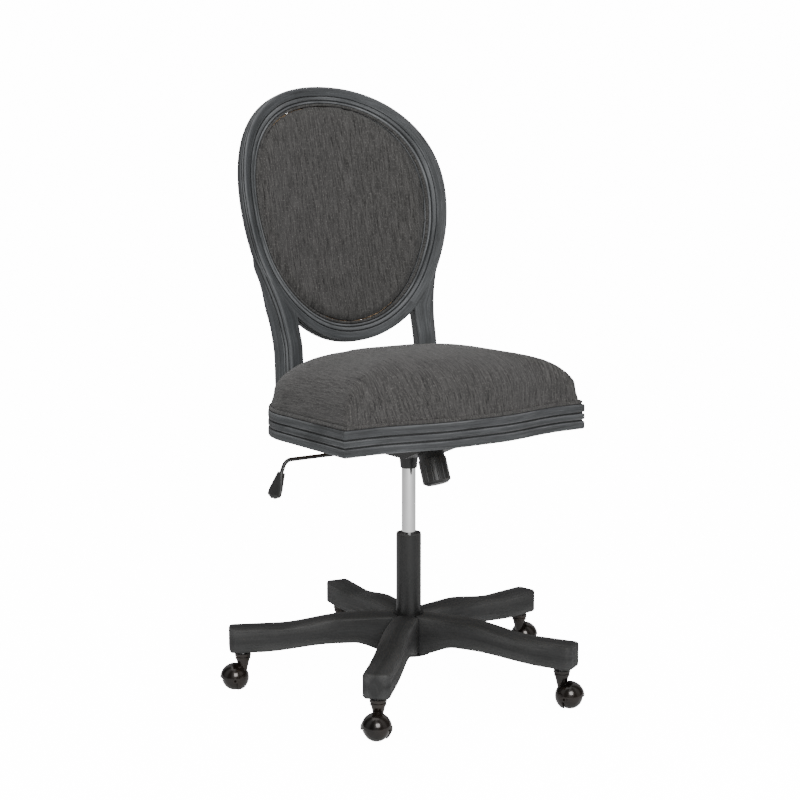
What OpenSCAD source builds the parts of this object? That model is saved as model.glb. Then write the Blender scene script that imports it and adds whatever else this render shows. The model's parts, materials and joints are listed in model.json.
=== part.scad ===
// Swivel office chair: an oval upholstered back on two stiles, a reeded seat frame, a tilt
// mechanism on a gas lift, and a five-arm wood base on ball casters.
// The front of the seat faces -Y. The origin is on the floor, on the swivel axis.
// The chair stands with its lift raised.

/* [Seat] */
// Width over the side rails
seat_w = 562; // [470:1:680]
// From the swivel axis to the front corners
seat_front = 200; // [180:1:240]
// From the swivel axis to the rear rail
seat_rear = 180; // [150:1:216]
// How far the middle of the front rail bows forward of its corners
front_bow = 29; // [10:1:40]
// Radius of the two rear corners
rear_corner_r = 157; // [130:1:180]
// Height of the rails
rail_h = 50; // [40:1:64]
// Thickness of the rails
rail_t = 30; // [24:1:38]
// Width of a groove between two reeds
reed_w = 3; // [2:0.5:5]
// Depth of a groove between two reeds
reed_d = 3.5; // [2:0.5:5]
// Thickness of the plywood deck under the cushion
deck_t = 12; // [9:1:15]
// Thickness of the board that the mechanism is screwed to
board_t = 18; // [15:1:20]
// Height of the cushion's upright edge above the rails
cushion_edge = 36; // [25:1:50]
// Height of the cushion's crown above the rails
cushion_crown = 108; // [80:1:130]

/* [Back] */
// Width of the oval
back_w = 481; // [400:1:580]
// Height of the oval along its own slope
back_h = 530; // [440:1:640]
// Height of the oval's middle above the rails
back_rise = 358; // [320:1:430]
// How far the back leans from upright, in degrees
recline = 12.9; // [8:0.1:16]
// Radius of the back's curve, from side to side
back_curve_r = 528; // [440:1:640]
// Width of the wood rim around the pads
rim_w = 41; // [30:1:50]
// Depth of the rim from front to rear
rim_t = 34; // [28:1:42]
// Distance between the middles of the two stiles
stile_gap = 336; // [290:1:380]
// Width of a stile
stile_w = 38; // [32:1:46]
// Depth of a stile from front to rear
stile_t = 48; // [42:1:58]
// Turn of a stile to follow the back's curve, in degrees
stile_turn = 18; // [14:0.5:22]
// How far the back's lower part comes forward of its slope
lumbar = 13; // [0:1:18]
// How far the front pad stands proud of the rim
pad_proud = 6; // [2:1:10]

/* [Base] */
// From the swivel axis to the end of an arm
arm_reach = 358; // [300:1:430]
// Width of an arm
arm_w = 52; // [44:1:62]
// Depth of an arm at its end
arm_tip_h = 47; // [40:1:56]
// How much higher the arms are at the middle than at their ends
hub_rise = 16; // [8:1:24]
// How much lower the arms' underside is at the middle than at their ends
hub_drop = 12; // [6:1:14]
// Height of the arch under an arm
arch_rise = 11; // [4:1:14]
// Turn of the base under the seat, in degrees
base_turn = 9.2; // [0:0.1:72]

/* [Casters] */
// Radius of the ball
ball_r = 25; // [20:0.5:30]
// From the ball's top to the arm above it
caster_neck = 30; // [26:1:36]
// From the stem's axis to the ball's axis
trail = 17; // [12:0.5:20]
// Distance from a stem's axis to the end of its arm
stem_setback = 27; // [22:1:36]
// Radius of the stem
stem_r = 5.5; // [4.5:0.1:6.5]

/* [Gas lift] */
// Radius of the outer tube
tube_r = 25; // [21:0.5:30]
// Height of the outer tube above the arms
tube_above = 161; // [140:1:190]
// Radius of the chrome cylinder
cylinder_r = 14; // [12:0.5:16]
// How far the seat can be lowered
stroke = 100; // [80:1:120]
// Bare cylinder left between tube and socket when lowered
reserve = 31; // [20:1:50]

/* [Mechanism] */
// Width of the mechanism's housing
housing_w = 90; // [80:1:108]
// How far the socket hangs below the housing
socket_drop = 28; // [20:1:36]
// Tilt of the tension knob from upright, in degrees
knob_tilt = 21.6; // [14:0.1:26]
// Radius of the tension knob
knob_r = 27.5; // [23:0.5:33]
// Length of the tension knob
knob_len = 50; // [40:1:60]
// Radius of the lever's rod
rod_r = 4; // [3:0.5:5]
// How far the lever's bend lies outside the side rail
lever_out = 6; // [0:1:20]
// Length of the lever's paddle
paddle_len = 52; // [40:1:64]
// Width of the lever's paddle
paddle_w = 44; // [34:1:54]

/* [Fits] */
// Radial clearance of a shaft that turns or slides in its bore
run_fit = 0.05; // [0.02:0.01:0.1]
// Gap around a piece that is let into another one
joint_gap = 0.2; // [0.1:0.1:0.5]
// Gap between parts that move past each other
move_gap = 0.5; // [0.3:0.1:1]

/* [Hidden] */
$fn = 64;
arm_count = 5;
far = 2000;            // longer than anything that is cut

// Heights, from the floor up
bush_flange_t = 3;
arm_under = 2 * ball_r + caster_neck;
tip_top = arm_under + arm_tip_h;
hub_top = tip_top + hub_rise;
hub_under = arm_under - hub_drop;
arch_top = arm_under + arch_rise;
tube_top = hub_top + tube_above;
socket_under = tube_top + bush_flange_t + stroke + reserve;
housing_z = socket_under + socket_drop;
housing_wall = 3;
lever_z = housing_z + 13 + rod_r;
pivot_z = lever_z + rod_r + 10;
plate_t = 3;
seat_z = pivot_z + 18;
rail_top = seat_z + rail_h;

// Base
stem_circle = arm_reach - stem_setback;
sleeve_wall = 2.6;
sleeve_r = tube_r + sleeve_wall;
sleeve_flange_t = 3;
hub_plate_t = 4;
hub_plate_r = 46;
hub_screw_r = 3;
hub_head_t = 2.4;
hub_screw_len = 30;
hub_screw_circle = sleeve_r + 10;
socket_wall = 2;
stem_depth = 36;
axle_pin_r = 2.5;
hood_gap = 1;
hood_wall = 2.5;
hood_r = ball_r + hood_gap + hood_wall;
neck_r = 0.52 * ball_r;
neck_top = arm_under - 6;

// Gas lift
tube_wall = 2.3;
tube_under = hub_under + 2;
tube_floor_t = 4;
bush_len = 78;
cylinder_wall = 2.4;
rod_shaft_r = 5;
bearing_ball_r = 2.5;
race_t = 1.5;
race_r = 12;
race_gap = 0.02;
bearing_z = tube_under + tube_floor_t + 0.1;
shoulder_z = bearing_z + 2 * race_t + 2 * bearing_ball_r + 2 * race_gap;
shoulder_t = 3;
cylinder_under = shoulder_z + shoulder_t + stroke + 2;
cylinder_top = housing_z + 5;
guide_t = 12;
piston_t = 14;
piston_z = cylinder_under + guide_t + move_gap;
pin_r = 3;
pin_top = lever_z - rod_r - move_gap;

// Mechanism: outline of the housing seen from the side, as [y, z]
pivot_y = -35;
pivot_r = 5;
housing_rear = 72;
housing_front = -108;
floor_bend = -45;
knob_from_bend = 31;
tan_tilt = tan(knob_tilt);
front_floor = housing_z + (floor_bend - housing_front) * tan_tilt;
spring_len = 14.4;
spring_r = 12;
spring_wire = 1.5;
spring_turns = 3.5;
bar_t = 5;
bar_travel = 3.75;
bolt_r = 4;
collar_t = 11;
collar_r = knob_r - 2;
plate_w = 156;
plate_front = -98;
plate_rear = 86;
ear_t = 3;
ear_gap = 1.5;
ear_x = housing_w / 2 + ear_gap;
plate_screw_r = 3;
plate_screws = [[62, -78], [62, 66], [-62, -78], [-62, 66]];
bend_r = 18;
bend_angle = 68;
rod_after_bend = 12;
bend_x = seat_w / 2 - bend_r * sin(bend_angle) + lever_out;

// Seat frame
block_leg = 52;
bolt_shank_r = 3;
bolt_step = 7;
bolt_z = rail_top - deck_t - 10;

// Back: the middle of the oval, from the stiles' place on the rear rail
half_w = seat_w / 2;
stile_x = stile_gap / 2;
stile_y = seat_rear - 17;
bolt_head_y = stile_y - 84;
back_z = rail_top + back_rise;
stile_foot_h = -back_rise / cos(recline);
stile_under = stile_foot_h - 90;
foot_sag = back_curve_r - sqrt(pow(back_curve_r, 2) - pow(stile_x, 2));
back_y = stile_y + foot_sag + back_rise * tan(recline);
panel_t = 6;
pad_rear_proud = 2;
oval_power = 2.117;    // 2 is an ellipse, more is squarer
oval_egg = 0.088;      // how much wider the oval is above its middle
merge_angle = -26;     // where a stile's outer edge runs into the oval
joint_span = 22;       // from there to the stile's inner edge, in degrees
lumbar_low = -235;     // height along the slope where the lumbar curve is fullest
lumbar_span = 150;     // from there up to where it ends
lumbar_rise = 110;     // from a stile's foot to where it is full
lumbar_foot = 0.2;     // its share at a stile's foot
stile_half = stile_w / 2 * cos(stile_turn);
stile_proud = 2;       // of the ring's front, at a stile's foot
stile_inset = 1;       // from the ring's faces, where a stile meets it

wood = "#45474c";
base_wood = "#37383b";
cloth = "#4b4846";
black = "#1c1c1e";
bronze = "#2b2220";
steel = "#b9babd";
plywood = "#a98c66";

// ---------- shared shapes ----------

// Rises smoothly from 0 to 1 as t goes from 0 to 1
function ease(t) = let (u = min(1, max(0, t))) u * u * (3 - 2 * u);

// A power that keeps the sign of its base
function signed_pow(v, p) = sign(v) * pow(abs(v), p);

module tube(outer, inner, h) {
    difference() {
        cylinder(r = outer, h = h);
        translate([0, 0, -1]) cylinder(r = inner, h = h + 2);
    }
}

// Places its children at arm i, with +X pointing outwards
module at_arm(i) {
    rotate([0, 0, base_turn + (i - 1) * 360 / arm_count]) children();
}

// ---------- base ----------

function arm_top(r) =
    tip_top + hub_rise * (1 - ease((r / arm_reach - 0.35) / 0.38));

function arm_bottom(r) =
    hub_under + (hub_drop + arch_rise) * ease((r / arm_reach - 0.1) / 0.22)
    - arch_rise * ease((r / arm_reach - 0.42) / 0.42);

// Side view of an arm, as [distance from the axis, height]
function arm_side(steps = 26) = concat(
    [for (i = [0:steps]) let (r = arm_reach * i / steps) [r, arm_bottom(r)]],
    [for (i = [steps:-1:0]) let (r = arm_reach * i / steps) [r, arm_top(r)]]
);

// Plan of an arm: mitred against its neighbours at the axis, rounded at its end
function arm_plan(corner = 12) = concat(
    [[0, 0], [arm_w / 2 / tan(180 / arm_count), -arm_w / 2]],
    [for (a = [-90:15:0]) [arm_reach - corner + corner * cos(a), -arm_w / 2 + corner + corner * sin(a)]],
    [for (a = [0:15:90]) [arm_reach - corner + corner * cos(a), arm_w / 2 - corner + corner * sin(a)]],
    [[arm_w / 2 / tan(180 / arm_count), arm_w / 2]]
);

module base_arm(i) {
    color(base_wood) at_arm(i) difference() {
        intersection() {
            rotate([90, 0, 0]) linear_extrude(arm_w, center = true) polygon(arm_side());
            linear_extrude(hub_top + 1) polygon(arm_plan());
        }
        cylinder(r = sleeve_r + joint_gap / 2, h = far);
        translate([0, 0, hub_top - 1]) cylinder(r = sleeve_r + 3, h = far);
        translate([stem_circle, 0, arm_under - 4]) cylinder(r = stem_r + socket_wall, h = stem_depth + 8);
        translate([hub_screw_circle, 0, hub_under - 1]) cylinder(r = hub_screw_r, h = hub_screw_len);
    }
}

module hub_sleeve() {
    color(black) difference() {
        union() {
            translate([0, 0, hub_under]) cylinder(r = sleeve_r, h = hub_top - hub_under);
            translate([0, 0, hub_top - 0.9]) cylinder(r = sleeve_r + 2.4, h = sleeve_flange_t);
        }
        translate([0, 0, hub_under - 1]) cylinder(r = tube_r, h = far);
    }
}

module hub_plate() {
    color(steel) difference() {
        translate([0, 0, hub_under - hub_plate_t]) cylinder(r = hub_plate_r, h = hub_plate_t);
        translate([0, 0, hub_under - hub_plate_t - 1]) cylinder(r = race_r + 3, h = hub_plate_t + 2);
        for (i = [1:arm_count])
            at_arm(i) translate([hub_screw_circle, 0, hub_under - hub_plate_t - 1]) {
                cylinder(r = hub_screw_r + joint_gap, h = hub_plate_t + 2);
                cylinder(r = 2 * hub_screw_r + joint_gap, h = hub_head_t + 1);
            }
    }
}

// Their heads lie in the plate, so that its underside is flat
module hub_screws() {
    color(steel) for (i = [1:arm_count])
        at_arm(i) translate([hub_screw_circle, 0, hub_under - hub_plate_t]) {
            cylinder(r = 2 * hub_screw_r, h = hub_head_t);
            cylinder(r = hub_screw_r, h = hub_plate_t + hub_screw_len - 1);
        }
}

module caster_sockets() {
    color(steel) for (i = [1:arm_count]) at_arm(i) translate([stem_circle, 0, arm_under + 0.5])
        tube(stem_r + socket_wall, stem_r + run_fit, stem_depth);
}

// ---------- casters ----------

// Places its children at the stem of caster i, with +X along its trail
module at_caster(i) {
    at_arm(i) translate([stem_circle, 0, 0]) children();
}

module caster_hood(i) {
    color(bronze) at_caster(i) difference() {
        union() {
            translate([trail, 0, ball_r]) sphere(r = hood_r);
            translate([0, 0, ball_r + 12]) cylinder(r1 = 0.3 * ball_r, r2 = neck_r, h = ball_r - 2);
            translate([0, 0, 2 * ball_r + 10]) cylinder(r = neck_r, h = neck_top - 2 * ball_r - 10);
            translate([0, 0, neck_top - 11]) cylinder(r = neck_r + 2, h = 4);
            translate([0, 0, neck_top - 5]) cylinder(r = neck_r + 3, h = 5);
            for (side = [-1, 1]) translate([trail, side * (hood_r - 3), ball_r])
                rotate([-90 * side, 0, 0]) cylinder(r = axle_pin_r + 3, h = 3.5);
        }
        translate([trail, 0, ball_r]) sphere(r = ball_r + hood_gap);
        // The far lower quarter and the foot are open for the ball
        difference() {
            translate([trail - 4, -ball_r * 2, -ball_r]) cube([4 * ball_r, 4 * ball_r, 2 * ball_r + 2]);
            translate([trail, 0, ball_r]) rotate([90, 0, 0])
                cylinder(r = axle_pin_r + 3, h = 4 * ball_r, center = true);
        }
        translate([-far / 2, -far / 2, -far + 4]) cube([far, far, far]);
        translate([0, 0, 2 * ball_r + 8]) cylinder(r = stem_r, h = far);
        translate([trail, 0, ball_r]) rotate([90, 0, 0])
            cylinder(r = axle_pin_r, h = 4 * ball_r, center = true);
    }
}

// The stem and the ball's axle, both fixed in the hood
module caster_pins(i) {
    color(steel) at_caster(i) {
        union() {
            translate([0, 0, 2 * ball_r + 8]) cylinder(r = stem_r, h = arm_under + stem_depth - 2 * ball_r - 8);
            translate([0, 0, neck_top]) cylinder(r = stem_r + 2.5, h = 5);
        }
        translate([trail, 0, ball_r]) rotate([90, 0, 0])
            cylinder(r = axle_pin_r, h = 2 * hood_r + 1, center = true);
    }
}

module caster_ball(i) {
    color(bronze) at_caster(i) translate([trail, 0, ball_r]) difference() {
        sphere(r = ball_r);
        rotate([90, 0, 0]) cylinder(r = axle_pin_r + run_fit, h = 4 * ball_r, center = true);
    }
}

// ---------- gas lift ----------

module lift_tube() {
    color(black) translate([0, 0, tube_under]) difference() {
        cylinder(r = tube_r, h = tube_top - tube_under);
        translate([0, 0, tube_floor_t]) cylinder(r = tube_r - tube_wall, h = far);
        translate([0, 0, -1]) cylinder(r = rod_shaft_r + run_fit, h = tube_floor_t + 2);
    }
}

module guide_bush() {
    color(black) difference() {
        union() {
            translate([0, 0, tube_top]) cylinder(r = tube_r - 0.6, h = bush_flange_t);
            translate([0, 0, tube_top - bush_len]) cylinder(r = tube_r - tube_wall, h = bush_len + 1);
        }
        translate([0, 0, tube_top - bush_len - 1]) cylinder(r = cylinder_r + run_fit, h = far);
    }
}

module thrust_bearing() {
    color(steel) translate([0, 0, bearing_z]) {
        tube(race_r, rod_shaft_r, race_t);
        translate([0, 0, race_t + 2 * bearing_ball_r + 2 * race_gap]) tube(race_r, rod_shaft_r, race_t);
        for (a = [0:45:359]) rotate([0, 0, a])
            translate([(race_r + rod_shaft_r) / 2, 0, race_t + race_gap + bearing_ball_r])
                sphere(r = bearing_ball_r, $fn = 24);
    }
}

module retaining_clip() {
    color(steel) translate([0, 0, tube_under - 2]) difference() {
        cylinder(r = rod_shaft_r + 4, h = 1.5);
        translate([0, 0, -1]) cylinder(r = rod_shaft_r, h = 4);
        translate([0, -2.5, -1]) cube([far, 5, 4]);
    }
}

module piston_rod() {
    color(steel) union() {
        translate([0, 0, tube_under - 5]) cylinder(r = rod_shaft_r, h = piston_z + piston_t - tube_under + 5);
        translate([0, 0, shoulder_z]) cylinder(r = rod_shaft_r + 3, h = shoulder_t);
        translate([0, 0, piston_z]) cylinder(r = cylinder_r - cylinder_wall - run_fit, h = piston_t);
    }
}

module gas_cylinder() {
    color(steel) difference() {
        translate([0, 0, cylinder_under]) cylinder(r = cylinder_r, h = cylinder_top - cylinder_under);
        translate([0, 0, cylinder_under - 1])
            cylinder(r = cylinder_r - cylinder_wall, h = cylinder_top - cylinder_under - 7);
        translate([0, 0, cylinder_top - 20]) cylinder(r = pin_r + run_fit, h = far);
    }
}

module rod_guide() {
    color(black) translate([0, 0, cylinder_under])
        tube(cylinder_r - cylinder_wall, rod_shaft_r + run_fit, guide_t);
}

module release_pin() {
    color(steel) translate([0, 0, cylinder_top - 12]) cylinder(r = pin_r, h = pin_top - cylinder_top + 12);
}

module taper_socket() {
    color(black) difference() {
        union() {
            translate([0, 0, socket_under]) cylinder(r1 = cylinder_r + 2.4, r2 = cylinder_r + 5.5, h = socket_drop);
            translate([0, 0, housing_z]) cylinder(r = cylinder_r + 5.5, h = housing_wall + 3);
        }
        translate([0, 0, socket_under - 1]) cylinder(r = cylinder_r, h = far);
    }
}

// ---------- mechanism ----------

// Places its children on the tension bolt's axis, where it meets the housing's sloping floor
module at_bolt() {
    translate([0, floor_bend - knob_from_bend * cos(knob_tilt), housing_z + knob_from_bend * sin(knob_tilt)])
        rotate([-knob_tilt, 0, 0]) children();
}

// Extrudes an outline given as [y, z] across the middle of the chair
module across(width, outline) {
    rotate([90, 0, 90]) linear_extrude(width, center = true) polygon(outline);
}

module mechanism_housing() {
    color(black) difference() {
        across(housing_w, [
            [housing_rear, housing_z],
            [housing_rear, pivot_z - 14],
            [pivot_y, pivot_z + 10],
            [housing_front, pivot_z + 10],
            [housing_front, front_floor],
            [floor_bend, housing_z]
        ]);
        across(housing_w - 2 * housing_wall, [
            [housing_rear - housing_wall, housing_z + housing_wall],
            [housing_rear - housing_wall, far],
            [housing_front + housing_wall, far],
            [housing_front + housing_wall, front_floor + housing_wall / cos(knob_tilt) - housing_wall * tan_tilt],
            [floor_bend, housing_z + housing_wall]
        ]);
        translate([0, 0, housing_z - 1]) cylinder(r = cylinder_r + 5.5, h = housing_wall + 2);
        translate([0, pivot_y, pivot_z]) rotate([0, 90, 0]) cylinder(r = pivot_r, h = far, center = true);
        translate([-housing_w, 0, lever_z]) rotate([0, 90, 0]) cylinder(r = rod_r + 3, h = housing_w);
        at_bolt() translate([0, 0, -1]) cylinder(r = bolt_r + 2, h = 8);
    }
}

module pivot_axle() {
    color(steel) translate([0, pivot_y, pivot_z]) rotate([0, 90, 0]) union() {
        cylinder(r = pivot_r, h = 2 * (ear_x + ear_t + 3), center = true);
        for (side = [-1, 1]) translate([0, 0, side * (ear_x + ear_t + 2)])
            cylinder(r = pivot_r + 2.5, h = 2, center = true);
    }
}

module tension_collar() {
    color(black) at_bolt() translate([0, 0, -collar_t])
        tube(collar_r, bolt_r + run_fit, collar_t);
}

// Solid through a list of rings of points, with flat ends
module through_rings(rings) {
    sides = len(rings[0]);
    last = len(rings) - 1;
    walls = [for (i = [0:last - 1], k = [0:sides - 1]) let (m = (k + 1) % sides)
        [i * sides + k, i * sides + m, (i + 1) * sides + m, (i + 1) * sides + k]];
    ends = [[for (k = [sides - 1:-1:0]) k], [for (k = [0:sides - 1]) last * sides + k]];
    polyhedron([for (ring = rings) each ring], concat(walls, ends), convexity = 8);
}

// Compression spring: wire of round section carried along a helix
module tension_spring() {
    sides = 8;
    steps = 14 * spring_turns;
    rise = spring_len - 2 * spring_wire;
    color(steel) at_bolt() translate([0, 0, housing_wall + joint_gap / 2])
        through_rings([for (i = [0:steps]) let (turn = 360 * spring_turns * i / steps)
            [for (k = [0:sides - 1]) let (
                a = 360 * k / sides,
                r = spring_r - spring_wire + spring_wire * cos(a)
            ) [r * cos(turn), r * sin(turn), spring_wire + rise * i / steps + spring_wire * sin(a)]]]);
}

module tension_bar() {
    color(steel) at_bolt() translate([0, 0, housing_wall + spring_len + joint_gap]) difference() {
        translate([-housing_w / 2 + housing_wall + move_gap, -9, 0])
            cube([housing_w - 2 * housing_wall - 2 * move_gap, 18, bar_t]);
        translate([0, 0, -1]) cylinder(r = bolt_r + run_fit, h = bar_t + 2);
    }
}

module tension_bolt() {
    color(steel) at_bolt() translate([0, 0, -collar_t - move_gap - 30])
        cylinder(r = bolt_r, h = 30 + collar_t + move_gap + housing_wall + spring_len + bar_t + bar_travel + 1);
}

module tension_knob() {
    flutes = 16;
    color(black) at_bolt() translate([0, 0, -collar_t - move_gap]) difference() {
        union() {
            translate([0, 0, -knob_len + 5]) cylinder(r = knob_r, h = knob_len - 5);
            translate([0, 0, -knob_len]) cylinder(r1 = knob_r - 7, r2 = knob_r, h = 5);
        }
        for (k = [0:flutes - 1]) rotate([0, 0, k * 360 / flutes]) translate([knob_r + 1.2, 0, -knob_len - 1])
            cylinder(r = 2.4, h = knob_len - 4, $fn = 24);
        translate([0, 0, -30]) cylinder(r = bolt_r, h = 40);
    }
}

module lever_bush() {
    color(black) translate([-housing_w / 2, 0, lever_z]) rotate([0, -90, 0]) difference() {
        union() {
            cylinder(r = rod_r + 5, h = 3);
            translate([0, 0, -housing_wall]) cylinder(r = rod_r + 3, h = housing_wall + 1);
        }
        translate([0, 0, -10]) cylinder(r = rod_r + 0.7, h = 20);
    }
}

// Places its children where the lever's bend ends, with -Z along the rest of the rod
module after_bend() {
    translate(bend_point(bend_angle)) rotate([0, 90 - bend_angle, 0]) children();
}

// Ring of points round the lever's rod, where it has turned down by the angle turn
function rod_ring(centre, turn, sides = 16) = [for (k = [0:sides - 1]) let (
    a = 360 * k / sides,
    up = rod_r * sin(a)
) centre + [-up * sin(turn), rod_r * cos(a), up * cos(turn)]];

function bend_point(turn) =
    [-bend_x - bend_r * sin(turn), 0, lever_z - bend_r * (1 - cos(turn))];

module lever_rod() {
    reach = rod_after_bend + 24;
    color(black) through_rings(concat(
        [rod_ring([7, 0, lever_z], 0)],
        [for (t = [0:bend_angle / 8:bend_angle + 0.01]) rod_ring(bend_point(t), t)],
        [rod_ring(bend_point(bend_angle) - reach * [cos(bend_angle), 0, sin(bend_angle)], bend_angle)]
    ));
}

module lever_paddle() {
    color(black) after_bend() translate([0, 0, -rod_after_bend]) difference() {
        rotate([90, 0, 90]) linear_extrude(2 * rod_r + 3, center = true) polygon([
            [-rod_r - 4, 0],
            [-paddle_w * 0.42, -paddle_len * 0.35],
            [-paddle_w / 2, -paddle_len * 0.8],
            [-paddle_w * 0.38, -paddle_len],
            [paddle_w * 0.38, -paddle_len],
            [paddle_w / 2, -paddle_len * 0.8],
            [paddle_w * 0.42, -paddle_len * 0.35],
            [rod_r + 4, 0]
        ]);
        translate([0, 0, -24]) cylinder(r = rod_r, h = 40);
    }
}

module seat_plate() {
    color(black) difference() {
        union() {
            translate([-plate_w / 2, plate_front, seat_z - plate_t])
                cube([plate_w, plate_rear - plate_front, plate_t]);
            for (side = [-1, 1]) translate([side * (ear_x + ear_t / 2), 0, 0]) {
                across(ear_t, [
                    [pivot_y - 18, seat_z - plate_t + 1],
                    [pivot_y - 8, pivot_z - 5],
                    [pivot_y + 8, pivot_z - 5],
                    [pivot_y + 18, seat_z - plate_t + 1]
                ]);
                translate([0, pivot_y, pivot_z]) rotate([0, 90, 0])
                    cylinder(r = pivot_r + 5, h = ear_t, center = true);
            }
        }
        translate([0, pivot_y, pivot_z]) rotate([0, 90, 0])
            cylinder(r = pivot_r + run_fit, h = far, center = true);
        for (p = plate_screws) translate([p[0], p[1], 0]) cylinder(r = plate_screw_r + joint_gap, h = far);
    }
}

module plate_screws() {
    color(steel) for (p = plate_screws) translate([p[0], p[1], 0]) {
        translate([0, 0, seat_z - plate_t - 3]) cylinder(r = 2 * plate_screw_r, h = 3);
        translate([0, 0, seat_z - plate_t - 1]) cylinder(r = plate_screw_r, h = plate_t + 15);
    }
}

// ---------- seat frame ----------

// How far the front edge is ahead of its corners, at the share u of the half width
function bow(u) = front_bow * (1 - ease((u - 0.16) / 0.66));

// Plan of the seat, moved in by inset all round
function seat_plan(inset, steps = 12) = concat(
    [for (i = [-steps:steps]) let (x = (half_w - inset) * i / steps)
        [x, -seat_front - bow(abs(x) / half_w) + inset]],
    [for (a = [0:9:90]) [half_w - rear_corner_r + (rear_corner_r - inset) * cos(a),
        seat_rear - rear_corner_r + (rear_corner_r - inset) * sin(a)]],
    [for (a = [90:9:180]) [-half_w + rear_corner_r + (rear_corner_r - inset) * cos(a),
        seat_rear - rear_corner_r + (rear_corner_r - inset) * sin(a)]]
);

// The whole rail band with its reeding and the stiles' notches
module rail_band() {
    difference() {
        translate([0, 0, seat_z]) linear_extrude(rail_h) difference() {
            polygon(seat_plan(0));
            polygon(seat_plan(rail_t));
        }
        for (share = [0.36, 0.66]) translate([0, 0, seat_z + share * rail_h - reed_w / 2])
            linear_extrude(reed_w) difference() {
                polygon(seat_plan(-5));
                polygon(seat_plan(reed_d));
            }
        for (side = [-1, 1]) stile_blank(side, joint_gap);
    }
}

// Prism over the front rail, with its two mitres
module front_sector() {
    translate([0, 0, seat_z - 1]) linear_extrude(rail_h + 2) polygon([
        [-half_w - 20, -seat_front - 20],
        [-half_w + 2 * rail_t, -seat_front + 2 * rail_t],
        [half_w - 2 * rail_t, -seat_front + 2 * rail_t],
        [half_w + 20, -seat_front - 20],
        [half_w + 20, -seat_front - 60],
        [-half_w - 20, -seat_front - 60]
    ]);
}

module front_rail() {
    color(wood) intersection() {
        rail_band();
        front_sector();
    }
}

module side_rail(side) {
    color(wood) difference() {
        intersection() {
            rail_band();
            translate([side > 0 ? stile_x : -far - stile_x, -far / 2, 0]) cube([far, far, far]);
        }
        front_sector();
    }
}

module left_rail() {
    side_rail(1);
}

module right_rail() {
    side_rail(-1);
}

module rear_rail() {
    color(wood) difference() {
        intersection() {
            rail_band();
            translate([-stile_x, -far / 2, 0]) cube([2 * stile_x, far, far]);
        }
        front_sector();
    }
}

module mechanism_board() {
    color(plywood) difference() {
        intersection() {
            translate([-half_w, -118, seat_z]) cube([seat_w, 224, board_t]);
            linear_extrude(far) polygon(seat_plan(rail_t + joint_gap));
        }
        for (p = plate_screws) translate([p[0], p[1], 0])
            cylinder(r = plate_screw_r, h = seat_z + 14);
        for (side = [-1, 1]) stile_blank(side, joint_gap);
    }
}

module seat_deck() {
    color(plywood) difference() {
        translate([0, 0, rail_top - deck_t]) linear_extrude(deck_t) polygon(seat_plan(rail_t + joint_gap));
        for (side = [-1, 1]) stile_blank(side, joint_gap);
    }
}

// Glue blocks: a triangle in each front corner, a square block inside each stile
module corner_blocks() {
    block_h = rail_h - board_t - deck_t - 1;
    color(plywood) difference() {
        intersection() {
            translate([0, 0, seat_z + board_t + 0.5]) linear_extrude(block_h) union() {
                for (side = [-1, 1]) {
                    polygon([
                        [side * (half_w - rail_t), -seat_front + rail_t],
                        [side * (half_w - rail_t - block_leg), -seat_front + rail_t],
                        [side * (half_w - rail_t), -seat_front + rail_t + block_leg]
                    ]);
                    translate([side * stile_x - 34, stile_y - 84]) square([68, 90]);
                }
            }
            linear_extrude(far) polygon(seat_plan(rail_t + joint_gap));
        }
        for (side = [-1, 1]) stile_blank(side, joint_gap);
        bolt_holes(bolt_shank_r);
    }
}

// Bolts from inside the frame, through the rear blocks and into the stiles
module bolt_holes(r) {
    for (side = [-1, 1], step = [-bolt_step, bolt_step]) translate([side * stile_x + step, bolt_head_y, bolt_z])
        rotate([-90, 0, 0]) cylinder(r = r, h = stile_t + 42);
}

module stile_bolts() {
    color(steel) union() {
        bolt_holes(bolt_shank_r);
        for (side = [-1, 1], step = [-bolt_step, bolt_step]) translate([side * stile_x + step, bolt_head_y, bolt_z])
            rotate([90, 0, 0]) cylinder(r = 2 * bolt_shank_r, h = 3);
    }
}

// The cushion: an upright edge and a crown, in flat layers that shrink as they rise
module seat_cushion() {
    layers = 6;
    color(cloth) difference() {
        hull() for (k = [0:layers]) let (
            up = sin(90 * k / layers),
            inset = 3 + (half_w - 100) * (1 - cos(90 * k / layers))
        ) translate([0, 0, rail_top + joint_gap + (k == 0 ? 0 : cushion_edge - 8)
                + (cushion_crown - cushion_edge + 8) * (k == 0 ? 0 : up)])
            linear_extrude(k == 0 ? cushion_edge - 8 : 0.1) polygon(seat_plan(inset, 8));
        for (side = [-1, 1]) stile_blank(side, 1);
    }
}

// ---------- back ----------

// Places its children in the back's own frame: +Z up the slope, +Y out of its rear face
module on_back() {
    translate([0, back_y, back_z]) rotate([-recline, 0, 0]) children();
}

// Outline of the oval, moved in by inset, as [x, height along the slope]
function oval(inset, step = 4) = [for (a = [0:step:359]) oval_point(a, inset)];

function oval_point(a, inset) = let (
    c = signed_pow(cos(a), 2 / oval_power),
    s = signed_pow(sin(a), 2 / oval_power)
) [(back_w / 2 - inset) * c * (1 + oval_egg * s), (back_h / 2 - inset) * s];

// How far the back's middle surface is forward of its slope at a height along it
function lumbar_at(h) = lumbar * (lumbar_foot + (1 - lumbar_foot) * ease((h - stile_foot_h) / lumbar_rise))
    * (1 - ease((h - lumbar_low) / lumbar_span));

// Band round the back's curve, through rows of [front, rear, height along the slope]
module band(rows) {
    last = len(rows) - 1;
    translate([0, -back_curve_r, 0]) rotate_extrude($fn = 180) polygon(concat(
        [for (row = rows) [back_curve_r + row[0] - lumbar_at(row[2]), row[2]]],
        [for (i = [last:-1:0]) [back_curve_r + rows[i][1] - lumbar_at(rows[i][2]), rows[i][2]]]
    ));
}

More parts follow.
